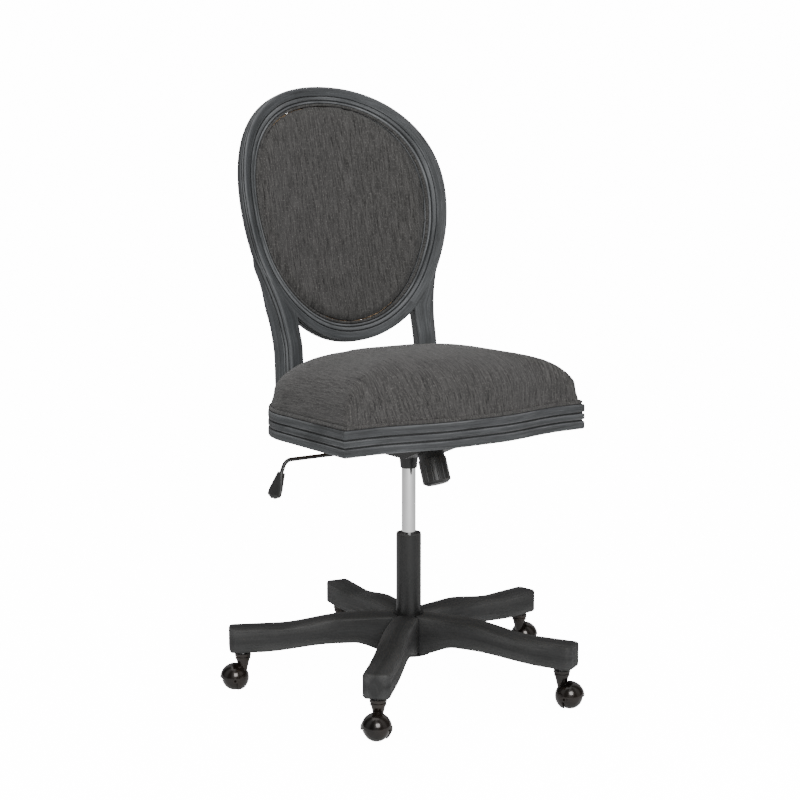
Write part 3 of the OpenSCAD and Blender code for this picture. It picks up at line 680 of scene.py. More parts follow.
@dataclass
class OvalBack:
    """The curved oval back: wood ring, welt and two pads, in a frame that leans with the back."""

    width: float = 0.481
    height: float = 0.530
    middle_y: float = 0.27294
    lean: float = math.radians(12.9)
    curve: float = 0.528
    power: float = 2.117
    egg: float = 0.088
    rim_t: float = 34.0
    front_welt: tuple[float, float, float] = (38.4, -12.6, 2.5)
    rear_welt: tuple[float, float, float] = (38.4, 14.6, 2.3)
    pad_edge: float = 35.2
    start_angle: float = -50.0
    rise: float = 0.358
    lumbar: float = 0.013
    lumbar_low: float = -0.235
    lumbar_span: float = 0.150
    lumbar_rise: float = 0.110
    lumbar_foot: float = 0.2

    def __post_init__(self) -> None:
        """Takes the middle's height from the top of the CAD rails."""
        self.middle_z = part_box("front_rail")[1].z + self.rise

    def lumbar_at(self, up: Array) -> Array:
        """How far the middle surface is forward of its slope: full low down, eased away above and below."""
        foot = -self.rise / math.cos(self.lean)
        below = self.lumbar_foot + (1 - self.lumbar_foot) * ease((up - foot) / self.lumbar_rise)
        return self.lumbar * below * (1 - ease((up - self.lumbar_low) / self.lumbar_span))

    def oval(self, angle: Array, inset: Array) -> tuple[Array, Array]:
        """The superellipse |x/a|^p + |z/b|^p = 1, wider above its middle, moved in by inset metres.

        Args:
            angle: Angle from +X, in radians.
            inset: Distance in from the outer edge, in metres.

        Returns:
            The x and the height up the slope.
        """
        across = signed_power(np.cos(angle), 2 / self.power)
        up = signed_power(np.sin(angle), 2 / self.power)
        x = (self.width / 2 - inset) * across * (1 + self.egg * up)
        return x, (self.height / 2 - inset) * up

    def place(self, x: Array, depth: Array, up: Array) -> Array:
        """From the back's frame to the chair's: bend round an upright cylinder, lean, then move.

        Args:
            x: Across.
            depth: Behind (+) or in front of (-) the middle surface.
            up: Up the slope.

        Returns:
            Positions, in a last axis of 3.
        """
        return self.tip_back(x, np.sqrt((self.curve + depth - self.lumbar_at(up)) ** 2 - x**2) - self.curve, up)

    def place_turned(self, x: Array, depth: Array, up: Array, turn: float) -> Array:
        """As place, but depth is measured square to a section turned by an angle, and x on the middle surface."""
        depth = depth - self.lumbar_at(up)
        y = np.sqrt(self.curve**2 - x**2) - self.curve
        return self.tip_back(x + depth * math.sin(turn), y + depth * math.cos(turn), up)

    def tip_back(self, x: Array, y: Array, up: Array) -> Array:
        """From the back's own upright axes to the chair's: lean about X, then move."""
        c, s = math.cos(self.lean), math.sin(self.lean)
        return np.stack([x, self.middle_y + y * c + up * s, self.middle_z - y * s + up * c], axis=-1)

    def unplace(self, points: Array) -> tuple[Array, Array, Array]:
        """The way back from positions to x, depth and height up the slope."""
        c, s = math.cos(self.lean), math.sin(self.lean)
        y, z = points[:, 1] - self.middle_y, points[:, 2] - self.middle_z
        flat_y, up = y * c - z * s, y * s + z * c
        return points[:, 0], np.hypot(points[:, 0], flat_y + self.curve) - self.curve + self.lumbar_at(up), up

    def around(self, profile: Array, rows: int, wear_and_highlight: bool = True) -> Surface:
        """A profile of (inset, depth) in millimetres, carried all round the oval."""
        angles = math.radians(self.start_angle) + np.linspace(0, 2 * math.pi, rows, endpoint=False)
        path = np.stack(self.oval(angles, np.zeros_like(angles)), axis=1)

        def point(s: Array, a: Array, b: Array) -> Array:
            """Where a profile point lies at an angle round the oval."""
            x, up = self.oval(s, a * MM)
            return self.place(x, b * MM, up)

        return carry(profile, angles, run_length(path, closed=True), point, True, wear_and_highlight)

    def ring_profile(self) -> Array:
        """The moulding's section, in millimetres: inset from the outer edge, and depth."""
        half = self.rim_t / 2
        outer = [(7.5, 16.6), (3.0, 14.4), (0.7, 9.8), (0, 5), (0, -2.2), (1.7, -3.4), (1.9, -4.4), (1.7, -5.4),
                 (0, -6.6), (0, -9.4), (1.5, -10.4), (1.7, -11.2), (1.5, -12.0), (0.5, -13.2), (1.2, -15.2),
                 (3.2, -16.6)]
        band = [(6.5, -half), (12, -16.4), (17.2, -14.8), (19.4, -13.4), (19.8, -11.4), (20.8, -11.2)]
        beads = [(21.2, -13.8), (22.6, -15.6), (25.2, -16.1), (27.6, -15.2), (28.6, -13.2), (29.0, -11.6),
                 (30.0, -11.4), (30.5, -13.0), (31.8, -14.0), (33.4, -14.0), (34.7, -13.0), (35.2, -11.2)]
        inner = [(36.2, -10.4), (41, -10.2), (41, -4), (41, 6), (41, 12), (36.0, 12.6), (35.2, 14.2)]
        rear = [(33.6, 16.4), (30, half), (22, half), (13, half)]
        return soften(np.array(outer + band + beads + inner + rear), 2)

    def welt_profile(self, seat: tuple[float, float, float]) -> Array:
        """A round cord's section at (inset, depth, radius), in millimetres."""
        turn = np.linspace(0, 2 * math.pi, WELT_SIDES, endpoint=False)
        return np.stack([seat[0] + seat[2] * np.cos(turn), seat[1] + seat[2] * np.sin(turn)], axis=1)

    def pad_start(self, front: float, rear: float, bulge: float) -> Surface:
        """A closed pad: two sheets over the oval that meet at a soft edge.

        The bulging sheet's depth is its edge depth plus the bulge times (1 - r^2.6)^0.7, where r is
        the share of the way from the middle to the edge.

        Args:
            front: Depth of the bulging sheet's edge, in millimetres.
            rear: Depth of the flat sheet, in millimetres.
            bulge: How far the middle stands out, in millimetres, with its sign.

        Returns:
            The surface.
        """
        angles = np.linspace(0, 2 * math.pi, PAD_COLUMNS, endpoint=False)
        out = np.sin(np.linspace(0.02, math.pi / 2, 34))
        shares = np.concatenate([out, out[::-1]])
        depth = np.concatenate([front + bulge * (1 - out**2.6) ** 0.7, np.full(len(out), rear)])
        shrink = np.concatenate([1 - 0.004 * out, (1 - 0.004 * out[::-1])])
        x_edge, up_edge = self.oval(angles, np.full_like(angles, self.pad_edge * MM))
        share = (shares * shrink)[:, None]
        x, up = share * x_edge, share * up_edge
        points = self.place(x, np.broadcast_to(depth[:, None] * MM, x.shape), up)
        uv = np.zeros((len(shares), len(angles) + 1, 2))
        return Surface.grid(points, uv, (False, True), caps=True)

    def fabric_uv(self, points: Array) -> Array:
        """Pattern coordinates of the pads: across along the curve, and up the slope."""
        x, _, up = self.unplace(points)
        return np.stack([self.curve * np.arcsin(x / self.curve), up], axis=1)

    def build(self, paints: Paints) -> None:
        """Makes the ring, the welts and the pads."""
        ring = self.around(self.ring_profile(), RING_ROWS).to_object("oval_ring", paints.of(Finish.FRAME_WOOD), 60)
        settle(ring, "seat", ["back_ring"])
        for name, seat in (("front_welt", self.front_welt), ("rear_welt", self.rear_welt)):
            welt = self.around(self.welt_profile(seat), RING_ROWS, wear_and_highlight=False)
            settle(welt.to_object(name, paints.of(Finish.FABRIC)), "seat")
        for name, node, sheet in (
            ("front_back_pad", "front_pad", self.pad_start(-13.0, -4.5, -5.0)),
            ("rear_back_pad", "rear_pad", self.pad_start(14.0, 4.5, 2.5)),
        ):
            pad = sheet.to_object(name, paints.of(Finish.FABRIC))
            Stuffing(voxel=0.005, cap=0.006).puff(pad, lambda p: np.ones(len(p)))
            dress_cloth(pad, self.fabric_uv)
            settle(pad, "seat", [node])


# ---------- soft pieces ----------


@dataclass
class Stuffing:
    """Puffs a closed shape up with a short cloth simulation under inner pressure."""

    voxel: float = 0.006
    cap: float = 0.010
    pressure: float = 4.0
    frames: int = 20

    def puff(self, piece: bpy.types.Object, freedom: Callable[[Array], Array]) -> None:
        """Remeshes the piece, blows it up, keeps each move within the cap, and smooths it once.

        Args:
            piece: The closed piece, changed in place.
            freedom: From rest positions, how much of its move each point keeps, 0 to 1.
        """
        scene = bpy.context.scene
        bpy.ops.object.select_all(action="DESELECT")
        bpy.context.view_layer.objects.active = piece
        piece.select_set(True)
        remesh = piece.modifiers.new("even", "REMESH")
        remesh.mode = "VOXEL"
        remesh.voxel_size = self.voxel
        remesh.use_smooth_shade = True
        bpy.ops.object.modifier_apply(modifier=remesh.name)
        rest = read_points(piece)
        cloth = piece.modifiers.new("stuffing", "CLOTH")
        cloth.settings.use_pressure = True
        cloth.settings.uniform_pressure_force = self.pressure
        cloth.settings.effector_weights.gravity = 0.0
        cloth.settings.quality = 5
        cloth.point_cache.frame_start = 1
        cloth.point_cache.frame_end = self.frames
        for step in range(1, self.frames + 1):
            scene.frame_set(step)
        bpy.ops.object.modifier_apply(modifier=cloth.name)
        scene.frame_set(1)
        move = read_points(piece) - rest
        size = np.linalg.norm(move, axis=1, keepdims=True)
        move *= self.cap * np.tanh(size / self.cap) / (size + 1e-9)
        write_points(piece, rest + move * freedom(rest)[:, None])
        even = piece.modifiers.new("fair", "SMOOTH")
        even.factor, even.iterations = 0.5, 4
        bpy.ops.object.modifier_apply(modifier=even.name)
        finer = piece.modifiers.new("finer", "SUBSURF")
        finer.levels = finer.render_levels = 1
        bpy.ops.object.modifier_apply(modifier=finer.name)
        piece.data.shade_smooth()


def read_points(piece: bpy.types.Object) -> Array:
    """The points of a piece's mesh, one a row."""
    flat = np.empty(len(piece.data.vertices) * 3, np.float32)
    piece.data.vertices.foreach_get("co", flat)
    return flat.reshape(-1, 3).astype(float)


def write_points(piece: bpy.types.Object, points: Array) -> None:
    """Puts points back into a piece's mesh."""
    piece.data.vertices.foreach_set("co", points.astype(np.float32).ravel())
    piece.data.update()


def dress_cloth(piece: bpy.types.Object, pattern: Callable[[Array], Array]) -> None:
    """Gives a piece pattern coordinates worked out from its points.

    Args:
        piece: The piece.
        pattern: From positions to coordinates in metres, across the threads and along them.
    """
    mesh = piece.data
    for layer in list(mesh.uv_layers):
        mesh.uv_layers.remove(layer)
    layer = mesh.uv_layers.new(name=GRAIN_UV)
    corners = np.empty(len(mesh.loops), np.int32)
    mesh.loops.foreach_get("vertex_index", corners)
    layer.data.foreach_set("uv", pattern(read_points(piece))[corners].astype(np.float32).ravel())


# ---------- the stiles ----------


@dataclass
class Stile:
    """One of the two stiles that carry the back, reeded on its outer side."""

    back: OvalBack
    side: int
    gap: float = 0.336
    width: float = 38.0
    depth: float = 48.0
    turn: float = math.radians(18)
    proud: float = 2.0
    inset: float = 1.0
    merge: float = -15.0
    fade: float = 40.0
    rows: int = 110

    def edges(self) -> tuple[Array, Array]:
        """The outer and inner edge as (x, height up the slope), row by row, in metres.

        The outer edge is straight to the seat's top, then a cubic Hermite curve that runs into the
        ring along its tangent. The inner edge is straight and then follows the ring.
        """
        half = self.width / 2 * MM * math.cos(self.turn)
        foot = np.array([self.gap / 2 + half, -self.back.rise / math.cos(self.back.lean)])
        angle = math.radians(self.merge)
        around = np.array([angle, angle - 0.02, angle + 0.02])
        on_oval = np.stack(self.back.oval(around, np.full(3, 0.0016)), axis=1)
        top, tangent = on_oval[0], on_oval[2] - on_oval[1]
        reach = top[1] - foot[1]
        leave = 1.7 * reach * np.array([0.0, 1.0])
        arrive = 1.35 * reach * tangent / np.linalg.norm(tangent)
        t = np.linspace(0, 1, 60)[:, None]
        curve = ((2 * t**3 - 3 * t**2 + 1) * foot + (t**3 - 2 * t**2 + t) * leave
                 + (3 * t**2 - 2 * t**3) * top + (t**3 - t**2) * arrive)
        below = foot + np.array([0.0, -0.0513])
        outer = np.vstack([below, curve])
        turn = np.radians(np.linspace(-75, self.merge, 80))
        x, up = self.back.oval(turn, np.full(80, 0.0035))
        inner_x = foot[0] - 2 * half
        start = int(np.argmax(x > inner_x))
        inner = np.vstack([[[inner_x, below[1]], [inner_x, up[start]]], np.stack([x, up], axis=1)[start + 1:]])
        return resample(outer, self.rows, False), resample(inner, self.rows, False)

    def profile(self) -> Array:
        """The section: share of the width, millimetres from the outer edge, end of the depth, millimetres."""
        rows = [(0, 0, 1, -3), (0, 0.7, 1, -0.8), (0, 3, 1, 0), (0.35, 0, 1, 0), (0.7, 0, 1, 0),
                (1, -4.5, 1, 0), (1, -1.2, 1, -1.2), (1, 0, 1, -4.5), (1, 0, 0, 0), (1, 0, -1, 4.5),
                (1, -1.2, -1, 1.2), (1, -4.5, -1, 0), (0.7, 0, -1, 0), (0.35, 0, -1, 0),
                (0, 5, -1, 0), (0, 2.0, -1, 0.9), (0, 0.5, -1, 2.8), (0, 0.2, -1, 6.6),
                (0, 1.9, -1, 7.9), (0, 2.3, -1, 9.0), (0, 1.9, -1, 10.1), (0, 0, -1, 11.4),
                (0, 0, -1, 15.0), (0, 1.6, -1, 16.2), (0, 1.9, -1, 17.2), (0, 1.5, -1, 18.2),
                (0, 0, -1, 19.4), (0, 0, 0, 2)]
        return soften(np.array(rows, float), 2)

    def build(self, paints: Paints) -> None:
        """Makes the stile: its section scaled to the width between the edges, row by row."""
        outer, inner = self.edges()
        section = self.profile()
        span = np.linalg.norm(inner - outer, axis=1)[:, None]
        across = section[None, :, 0] + section[None, :, 1] * MM * np.minimum(1, span / 0.02) / span
        x = outer[:, :1] + (inner - outer)[:, :1] * across
        up = outer[:, 1:] + (inner - outer)[:, 1:] * across
        rim = self.back.rim_t / 2
        above = (up - self.back.lumbar_low) / MM
        last = above.max() - self.fade
        front = -rim - self.proud + (self.proud + self.inset) * ease((above + 35) / 45)
        front = front + 7 * ease((above - last) / self.fade)
        rear = self.depth - rim - self.proud
        rear = rear - (rear - rim + self.inset) * ease((above - 35) / 75) - 9 * ease((above - last) / self.fade)
        end = section[None, :, 2]
        depth = np.where(end > 0, rear * end, -front * end) + section[None, :, 3]
        points = self.back.place_turned(x, depth * MM, up, self.turn) * (self.side, 1, 1)
        flat = np.stack([section[:, 0] * self.width + section[:, 1], section[:, 2] * self.depth / 2 + section[:, 3]], 1)
        # Masks for wear with painted highlight on the edges, and painted shade in the grooves.
        wear_and_highlight, groove_shade = edge_masks(flat)
        masks = {"wear_and_highlight": np.broadcast_to(wear_and_highlight, x.shape), "groove_shade": np.broadcast_to(groove_shade, x.shape)}
        uv = profile_uv(flat, run_length(outer), False) + (0.7, 0.3 * self.side)
        name = "left_stile" if self.side > 0 else "right_stile"
        made = Surface.grid(points, uv, (False, True), True, masks)
        piece = made.to_object(name + "_turned", paints.of(Finish.FRAME_WOOD), 60)
        settle(piece, "seat", [name])


# ---------- the seat ----------


@dataclass
class Seat:
    """The reeded seat frame with its cushion and welt."""

    front: float = 0.200
    rear: float = 0.180
    bow: float = 0.029
    corner: float = 0.157
    wall: float = 30.0
    stile_in: float = 0.1425
    stile_front: float = 0.1335
    crown: float = 0.104
    edge: float = 0.034
    welt_r: float = 0.0035
    held: float = 0.004
    ease_over: float = 0.022

    def __post_init__(self) -> None:
        """Takes the frame's width, foot and height from the CAD rails."""
        low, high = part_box("front_rail")
        self.half, self.foot, self.top = high.x, low.z, high.z

    def front_line(self, x: Array, inset: Array) -> Array:
        """Y of the front edge: straight near the corners, with an eased bow between."""
        share = np.abs(x) / self.half
        return -self.front - self.bow * (1 - ease((share - 0.16) / 0.66)) + inset

    def rail_profile(self) -> Array:
        """Section of a rail as (inset, height over its foot) in millimetres: three reeds, two grooves."""
        tall = (self.top - self.foot) / MM
        face = [(3.5, 0), (1.0, 0.8), (0, 3.2), (0, 8), (0, 13.4), (0.7, 15.6), (3.0, 16.6), (3.2, 18.4),
                (0.8, 19.5), (0, 21.6), (0, 25.5), (0, 28.6), (0.7, 30.6), (3.0, 31.6), (3.2, 33.4),
                (0.8, 34.5), (0, 36.8), (0, 42), (0, 46.6), (1.0, 49.2), (3.5, tall)]
        body = [(12, tall), (self.wall - 2, tall), (self.wall, tall - 2), (self.wall, 25), (self.wall, 2),
                (self.wall - 2, 0), (12, 0)]
        return soften(np.array(face + body), 2)

    def front_point(self, s: Array, a: Array, b: Array) -> Array:
        """Front rail: x is the share s of the half width less the inset, so that its ends are mitred."""
        inset = a * MM
        x = s * (self.half - inset)
        y = self.front_line(s * self.half, inset)
        return np.stack([x, y, self.foot + b * MM], axis=-1)

    def side_point(self, s: Array, a: Array, b: Array, side: int) -> Array:
        """Side rail: straight from the mitre (s 0 to 1), then round the rear corner (s 1 to 2, a quarter turn)."""
        inset = a * MM
        start = -self.front + inset
        bend = self.rear - self.corner
        straight = start + (bend - start) * np.clip(s, 0, 1)
        turn = np.clip(s - 1, 0, 1) * math.pi / 2
        x = self.half - self.corner + (self.corner - inset) * np.cos(turn)
        y = straight + (self.corner - inset) * np.sin(turn)
        return np.stack([side * x, y, self.foot + b * MM], axis=-1)

    def rear_point(self, s: Array, a: Array, b: Array) -> Array:
        """Rear rail: s is x in metres; straight in the middle and round towards the stiles."""
        inset = a * MM
        past = np.maximum(np.abs(s) - (self.half - self.corner), 0)
        y = self.rear - self.corner + np.sqrt((self.corner - inset) ** 2 - past**2)
        return np.stack([s, y, self.foot + b * MM], axis=-1)

    def build_rails(self, paints: Paints) -> None:
        """Makes the four rails."""
        wood = paints.of(Finish.FRAME_WOOD)
        profile = self.rail_profile()
        rows = np.linspace(-1, 1, 70)
        front = carry(profile, rows, rows * self.half + 0.4, self.front_point, False)
        settle(front.to_object("front_rail_reeded", wood, 60), "seat", ["front_rail"])
        rows = np.concatenate([np.linspace(0, 1, 24), np.linspace(1, 1.84, 40)[1:]])
        along = np.interp(rows, [0, 1, 2], [0, self.front + self.rear - self.corner,
                                            self.front + self.rear + 0.57 * self.corner])
        for side, name in ((1, "left_rail"), (-1, "right_rail")):
            rail = carry(profile, rows, along + 2.0 + side, partial(self.side_point, side=side), False)
            settle(rail.to_object(name + "_reeded", wood, 60), "seat", [name])
        rows = np.linspace(-0.160, 0.160, 50)
        rear = carry(profile, rows, rows + 5, self.rear_point, False)
        settle(rear.to_object("rear_rail_reeded", wood, 60), "seat", ["rear_rail"])

    def outline(self, inset: float, count: int, soft: float = 0.004) -> Array:
        """Plan of the upholstery, anticlockwise from the front left, notched round the stiles.

        Args:
            inset: Distance in from the rails' face, in metres.
            count: Number of points.
            soft: How far its corners are rounded, in metres.

        Returns:
            Points evenly spaced along the outline.
        """
        half, radius = self.half - inset, self.corner - inset
        x = np.linspace(-half, half, 80)
        front = np.stack([x, self.front_line(x * self.half / half, np.full(80, inset))], axis=1)
        cx, cy = self.half - self.corner, self.rear - self.corner
        stop = math.asin(min(1.0, (self.stile_front - cy) / radius))
        resume = math.acos(min(1.0, (self.stile_in - cx) / radius))
        low, high = np.linspace(0, stop, 24), np.linspace(resume, math.pi / 2, 8)
        arc = [np.stack([cx + radius * np.cos(t), cy + radius * np.sin(t)], axis=1) for t in (low, high)]
        right = np.vstack([arc[0], [[self.stile_in, self.stile_front]], arc[1]])
        loop = resample(np.vstack([front, right, right[::-1] * (-1, 1)]), 1200, True)
        step = run_length(loop, closed=True)[-1] / len(loop)
        reach = int(4 * soft / step) + 1
        weights = np.exp(-0.5 * (np.arange(-reach, reach + 1) * step / soft) ** 2)
        weights /= weights.sum()
        smooth = sum(w * np.roll(loop, k, axis=0) for k, w in zip(range(-reach, reach + 1), weights))
        return resample(smooth, count, True)

    def cushion_start(self) -> Surface:
        """The cushion before it is puffed up: a dome over an upright edge, closed below.

        Height over the edge is the crown's rise times (1 - r^2.5)^0.56 at the share r of the way out.
        """
        loop = self.outline(0.0035, 260, 0.005)
        middle = np.array([0.0, -0.02])
        out = np.sin(np.linspace(0.02, math.pi / 2, 40))
        dome = self.edge + (self.crown - self.edge) * (1 - out**2.5) ** 0.56
        side = np.linspace(self.edge, 0.002, 6)[1:]
        shares = np.concatenate([out, np.ones(len(side)), out[::-1]])
        heights = np.concatenate([dome, side, np.full(len(out), 0.0012)])
        plan = middle + shares[:, None, None] * (loop - middle)[None]
        z = np.broadcast_to((self.top + heights)[:, None], plan.shape[:2])
        points = np.concatenate([plan, z[..., None]], axis=-1)
        return Surface.grid(points, np.zeros((len(shares), len(loop) + 1, 2)), (False, True), caps=True)

    def fabric_uv(self, points: Array) -> Array:
        """Pattern coordinates of the cushion: x and y on top, with the fall of each side added outwards."""
        loop = self.outline(0.003, 400, 0.002)
        tangent = np.roll(loop, -1, axis=0) - np.roll(loop, 1, axis=0)
        normal = np.stack([tangent[:, 1], -tangent[:, 0]], axis=1)
        normal /= np.linalg.norm(normal, axis=1, keepdims=True)
        gap = ((points[:, None, :2] - loop[None]) ** 2).sum(axis=2)
        nearest, distance = gap.argmin(axis=1), np.sqrt(gap.min(axis=1))
        fall = np.maximum(self.top + 0.062 - points[:, 2], 0) * np.exp(-((distance / 0.045) ** 2))
        return points[:, :2] + normal[nearest] * fall[:, None]

    def welt(self, path: Array, closed: bool) -> Surface:
        """A round welt along a level path: at each point a circle square to the path.

        Args:
            path: Plan of the welt, in metres.
            closed: Whether it is a loop.

        Returns:
            The surface, capped if open.
        """
        tangent = np.gradient(path, axis=0)
        tangent /= np.linalg.norm(tangent, axis=1, keepdims=True)
        side = np.stack([tangent[:, 1], -tangent[:, 0]], axis=1)
        turn = np.linspace(0, 2 * math.pi, WELT_SIDES, endpoint=False)
        plan = path[:, None] + side[:, None] * (self.welt_r * np.cos(turn))[None, :, None]
        z = np.broadcast_to(self.top + self.welt_r * (1.05 + np.sin(turn)), plan.shape[:2])
        points = np.concatenate([plan, z[..., None]], axis=-1)
        circle = np.stack([np.cos(turn), np.sin(turn)], axis=1) * self.welt_r / MM
        return Surface.grid(points, profile_uv(circle, run_length(path), closed), (closed, True), not closed)

    def freedom(self, points: Array) -> Array:
        """How much of its move each point keeps: none at the rails, all of it from held + ease_over up."""
        return ease((points[:, 2] - self.top - self.held) / self.ease_over)

    def build(self, paints: Paints) -> None:
        """Makes the rails, the cushion and its welt."""
        self.build_rails(paints)
        cloth = paints.of(Finish.FABRIC)
        cushion = self.cushion_start().to_object("cushion", cloth)
        Stuffing(voxel=0.007, cap=0.009).puff(cushion, self.freedom)
        dress_cloth(cushion, self.fabric_uv)
        settle(cushion, "seat", ["seat_cushion"])
        loop = self.outline(0.0045, 700, 0.003)
        behind = (loop[:, 1] > self.stile_front - 0.006) & (np.abs(loop[:, 0]) < self.stile_in + 0.03)
        start = int(np.argmax(behind & ~np.roll(behind, 1)))
        order = np.roll(np.arange(len(loop)), -start)
        kept = order[~behind[order]]
        settle(self.welt(loop[kept], False).to_object("seat_welt", cloth), "seat")
        rows = np.linspace(-self.stile_in + 0.001, self.stile_in - 0.001, 60)
        rear = self.rear_point(rows, np.full(60, 4.5), np.zeros(60))[:, :2]
        settle(self.welt(rear, False).to_object("rear_seat_welt", cloth), "seat")


# ---------- the base ----------


@dataclass
class BaseArm:
    """One arm of the star base: a bar with softened edges that rises to the hub."""

    number: int
    reach: float = 358.0
    width: float = 52.0
    tip_bottom: float = 80.0
    tip_top: float = 127.0
    hub_rise: float = 16.0
    hub_drop: float = 12.0
    arch: float = 11.0
    start: float = 26.0
    corner: float = 12.0
    round_over: float = 5.0
    turn: float = 9.2
    count: int = 5

    def top(self, r: Array) -> Array:
        """Height of the upper face: level at the tip, easing up to the hub."""
        return self.tip_top + self.hub_rise * (1 - ease((r / self.reach - 0.35) / 0.38))

    def bottom(self, r: Array) -> Array:
        """Height of the under face: low at the hub, an arch, and down again to the tip."""
        share = r / self.reach
        return (self.tip_bottom - self.hub_drop + (self.hub_drop + self.arch) * ease((share - 0.1) / 0.22)
                - self.arch * ease((share - 0.42) / 0.42))

    def section(self) -> Array:
        """A rounded square from -1 to 1: two columns of sides and two of corner offsets, in shares of a radius."""
        corners = []
        for k, (sx, sz) in enumerate(((1, -1), (1, 1), (-1, 1), (-1, -1))):
            turn = np.radians(np.linspace(-90 + 90 * k, 90 * k, 7))
            side = np.tile([sx, sz], (7, 1))
            corners.append(np.hstack([side, np.stack([np.cos(turn) - sx, np.sin(turn) - sz], axis=1)]))
            middle = ((1, 0), (0, 1), (-1, 0), (0, -1))[k]
            corners.append(np.array([[*middle, 0, 0]], float))
        return np.vstack(corners)

    def build(self, paints: Paints) -> None:
        """Makes the arm: the section scaled to the half width and the two heights at each distance out."""
        tip = self.reach - self.corner + self.corner * np.sin(np.linspace(0, math.pi / 2, 12))
        r = np.concatenate([np.linspace(self.start, self.reach - self.corner, 70)[:-1], tip])[:, None]
        past = np.clip(r - (self.reach - self.corner), 0, self.corner)
        mitre = r * math.tan(math.pi / self.count)
        half = np.minimum(self.width / 2, mitre) - self.corner + np.sqrt(self.corner**2 - past**2)
        drop = self.round_over - np.sqrt(self.round_over**2 - np.clip(r - (self.reach - self.round_over), 0,
                                                                       self.round_over) ** 2)
        top, bottom = self.top(r) - drop, self.bottom(r) + drop
        wave = 0.35 * np.sin(r / 23 + self.number) * ease((r - 60) / 60)
        shape = self.section()[None]
        soft = self.round_over + 1.2 * np.sin(r / 61 + 2 * self.number)
        y = (half + wave) * shape[..., 0] + soft * shape[..., 2]
        z = (top + bottom) / 2 + (top - bottom) / 2 * shape[..., 1] + soft * shape[..., 3]
        angle = math.radians(self.turn + 360 / self.count * (self.number - 1))
        c, s = math.cos(angle), math.sin(angle)
        out = np.broadcast_to(r, y.shape)
        points = np.stack([out * c - y * s, out * s + y * c, z], axis=-1) * MM
        flat = self.section()
        flat = np.stack([flat[:, 0] * self.width / 2 + flat[:, 2] * self.round_over,
                         flat[:, 1] * 24 + flat[:, 3] * self.round_over], axis=1)
        # Masks for wear with painted highlight on the edges, and painted shade in the grooves.
        wear_and_highlight, groove_shade = edge_masks(flat, 4.0)
        masks = {"wear_and_highlight": np.broadcast_to(wear_and_highlight, y.shape), "groove_shade": np.broadcast_to(groove_shade, y.shape)}
        uv = profile_uv(flat, r[:, 0] * MM + self.number, False)
        piece = Surface.grid(points, uv, (False, True), True, masks)
        made = piece.to_object(f"arm_{self.number}", paints.of(Finish.BASE_WOOD), 60)
        settle(made, "base", [f"base_arm_{self.number}"])


# ---------- the lever ----------


@dataclass
class Lever:
    """The height lever: a bent rod with a flat paddle."""

    rod_r: float = 4.0
    inner_x: float = 7.0
    bend_r: float = 18.0
    bend: float = 68.0
    seat_half: float = 281.0
    out: float = 6.0
    height: float = 483.0
    after: float = 12.0
    paddle_length: float = 52.0
    paddle_width: float = 44.0

    def bend_point(self, turn: Array) -> Array:
        """Plan of the bend in the XZ plane: round an arc that turns down, in millimetres."""
        start = -(self.seat_half - self.bend_r * math.sin(math.radians(self.bend)) + self.out)
        return np.stack([start - self.bend_r * np.sin(turn), self.height - self.bend_r * (1 - np.cos(turn))], axis=-1)

    def build(self, paints: Paints) -> None:
        """Makes the rod, a circle carried along straight, bend and straight, and the paddle."""
        stop = math.radians(self.bend)
        bend = np.linspace(0, stop, 16)
        down = np.array([-math.cos(stop), -math.sin(stop)])
        end = self.bend_point(np.array(stop))
        path = np.vstack([[[self.inner_x, self.height]], self.bend_point(bend), [end + down * (self.after + 14)]])
        turns = np.concatenate([[0], bend, [stop]])[:, None]
        ring = np.linspace(0, 2 * math.pi, 20, endpoint=False)[None]
        up = self.rod_r * np.sin(ring)
        points = np.stack([path[:, :1] - up * np.sin(turns), np.broadcast_to(self.rod_r * np.cos(ring), (18, 20)),
                           path[:, 1:] + up * np.cos(turns)], axis=-1) * MM
        circle = self.rod_r * np.stack([np.cos(ring[0]), np.sin(ring[0])], axis=1)
        rod = Surface.grid(points, profile_uv(circle, run_length(path) * MM, False), (False, True), True)
        settle(rod.to_object("lever_rod_bent", paints.of(Finish.BLACK_METAL)), "lever",
               ["lever_rod"])
        self.build_paddle(paints, end + down * self.after, down)

    def build_paddle(self, paints: Paints, root: Array, down: Array) -> None:
        """The paddle: a superellipse section that widens, thins and ends in a scalloped edge.

        Args:
            paints: The finishes.
            root: Where it starts, as (x, z) in millimetres.
            down: Direction along it in the XZ plane.
        """
        share = np.linspace(0, 1, 30)
        wide = np.interp(share, [0, 0.08, 0.35, 0.62, 0.85, 0.95, 1.0], [7.5, 8.5, 14.5, 20.5, 22.0, 20.5, 17.0])
        thick = np.interp(share, [0, 0.1, 0.5, 0.9, 1.0], [6.2, 6.6, 5.4, 5.0, 3.2])
        turn = np.linspace(0, 2 * math.pi, 40, endpoint=False)
        y = wide[:, None] * signed_power(np.cos(turn), 0.6)[None]
        t = thick[:, None] * signed_power(np.sin(turn), 0.75)[None]
        scallop = 2.2 * np.cos(y / self.paddle_width * 2 * math.pi * 1.5) * ease((share[:, None] - 0.8) / 0.2)
        along = share[:, None] * (self.paddle_length - 2.2) + scallop
        across = np.array([down[1], -down[0]])
        x = root[0] + along * down[0] + t * across[0]
        z = root[1] + along * down[1] + t * across[1]
        points = np.stack([x, y, z], axis=-1) * MM
        oval = np.stack([20 * np.cos(turn), 5 * np.sin(turn)], axis=1)
        paddle = Surface.grid(points, profile_uv(oval, share * 0.05, False), (False, True), True)
        made = paddle.to_object("paddle_moulded", paints.of(Finish.BLACK_PLASTIC), 40)
        settle(made, "lever", ["lever_paddle"])


# ---------- the studio ----------


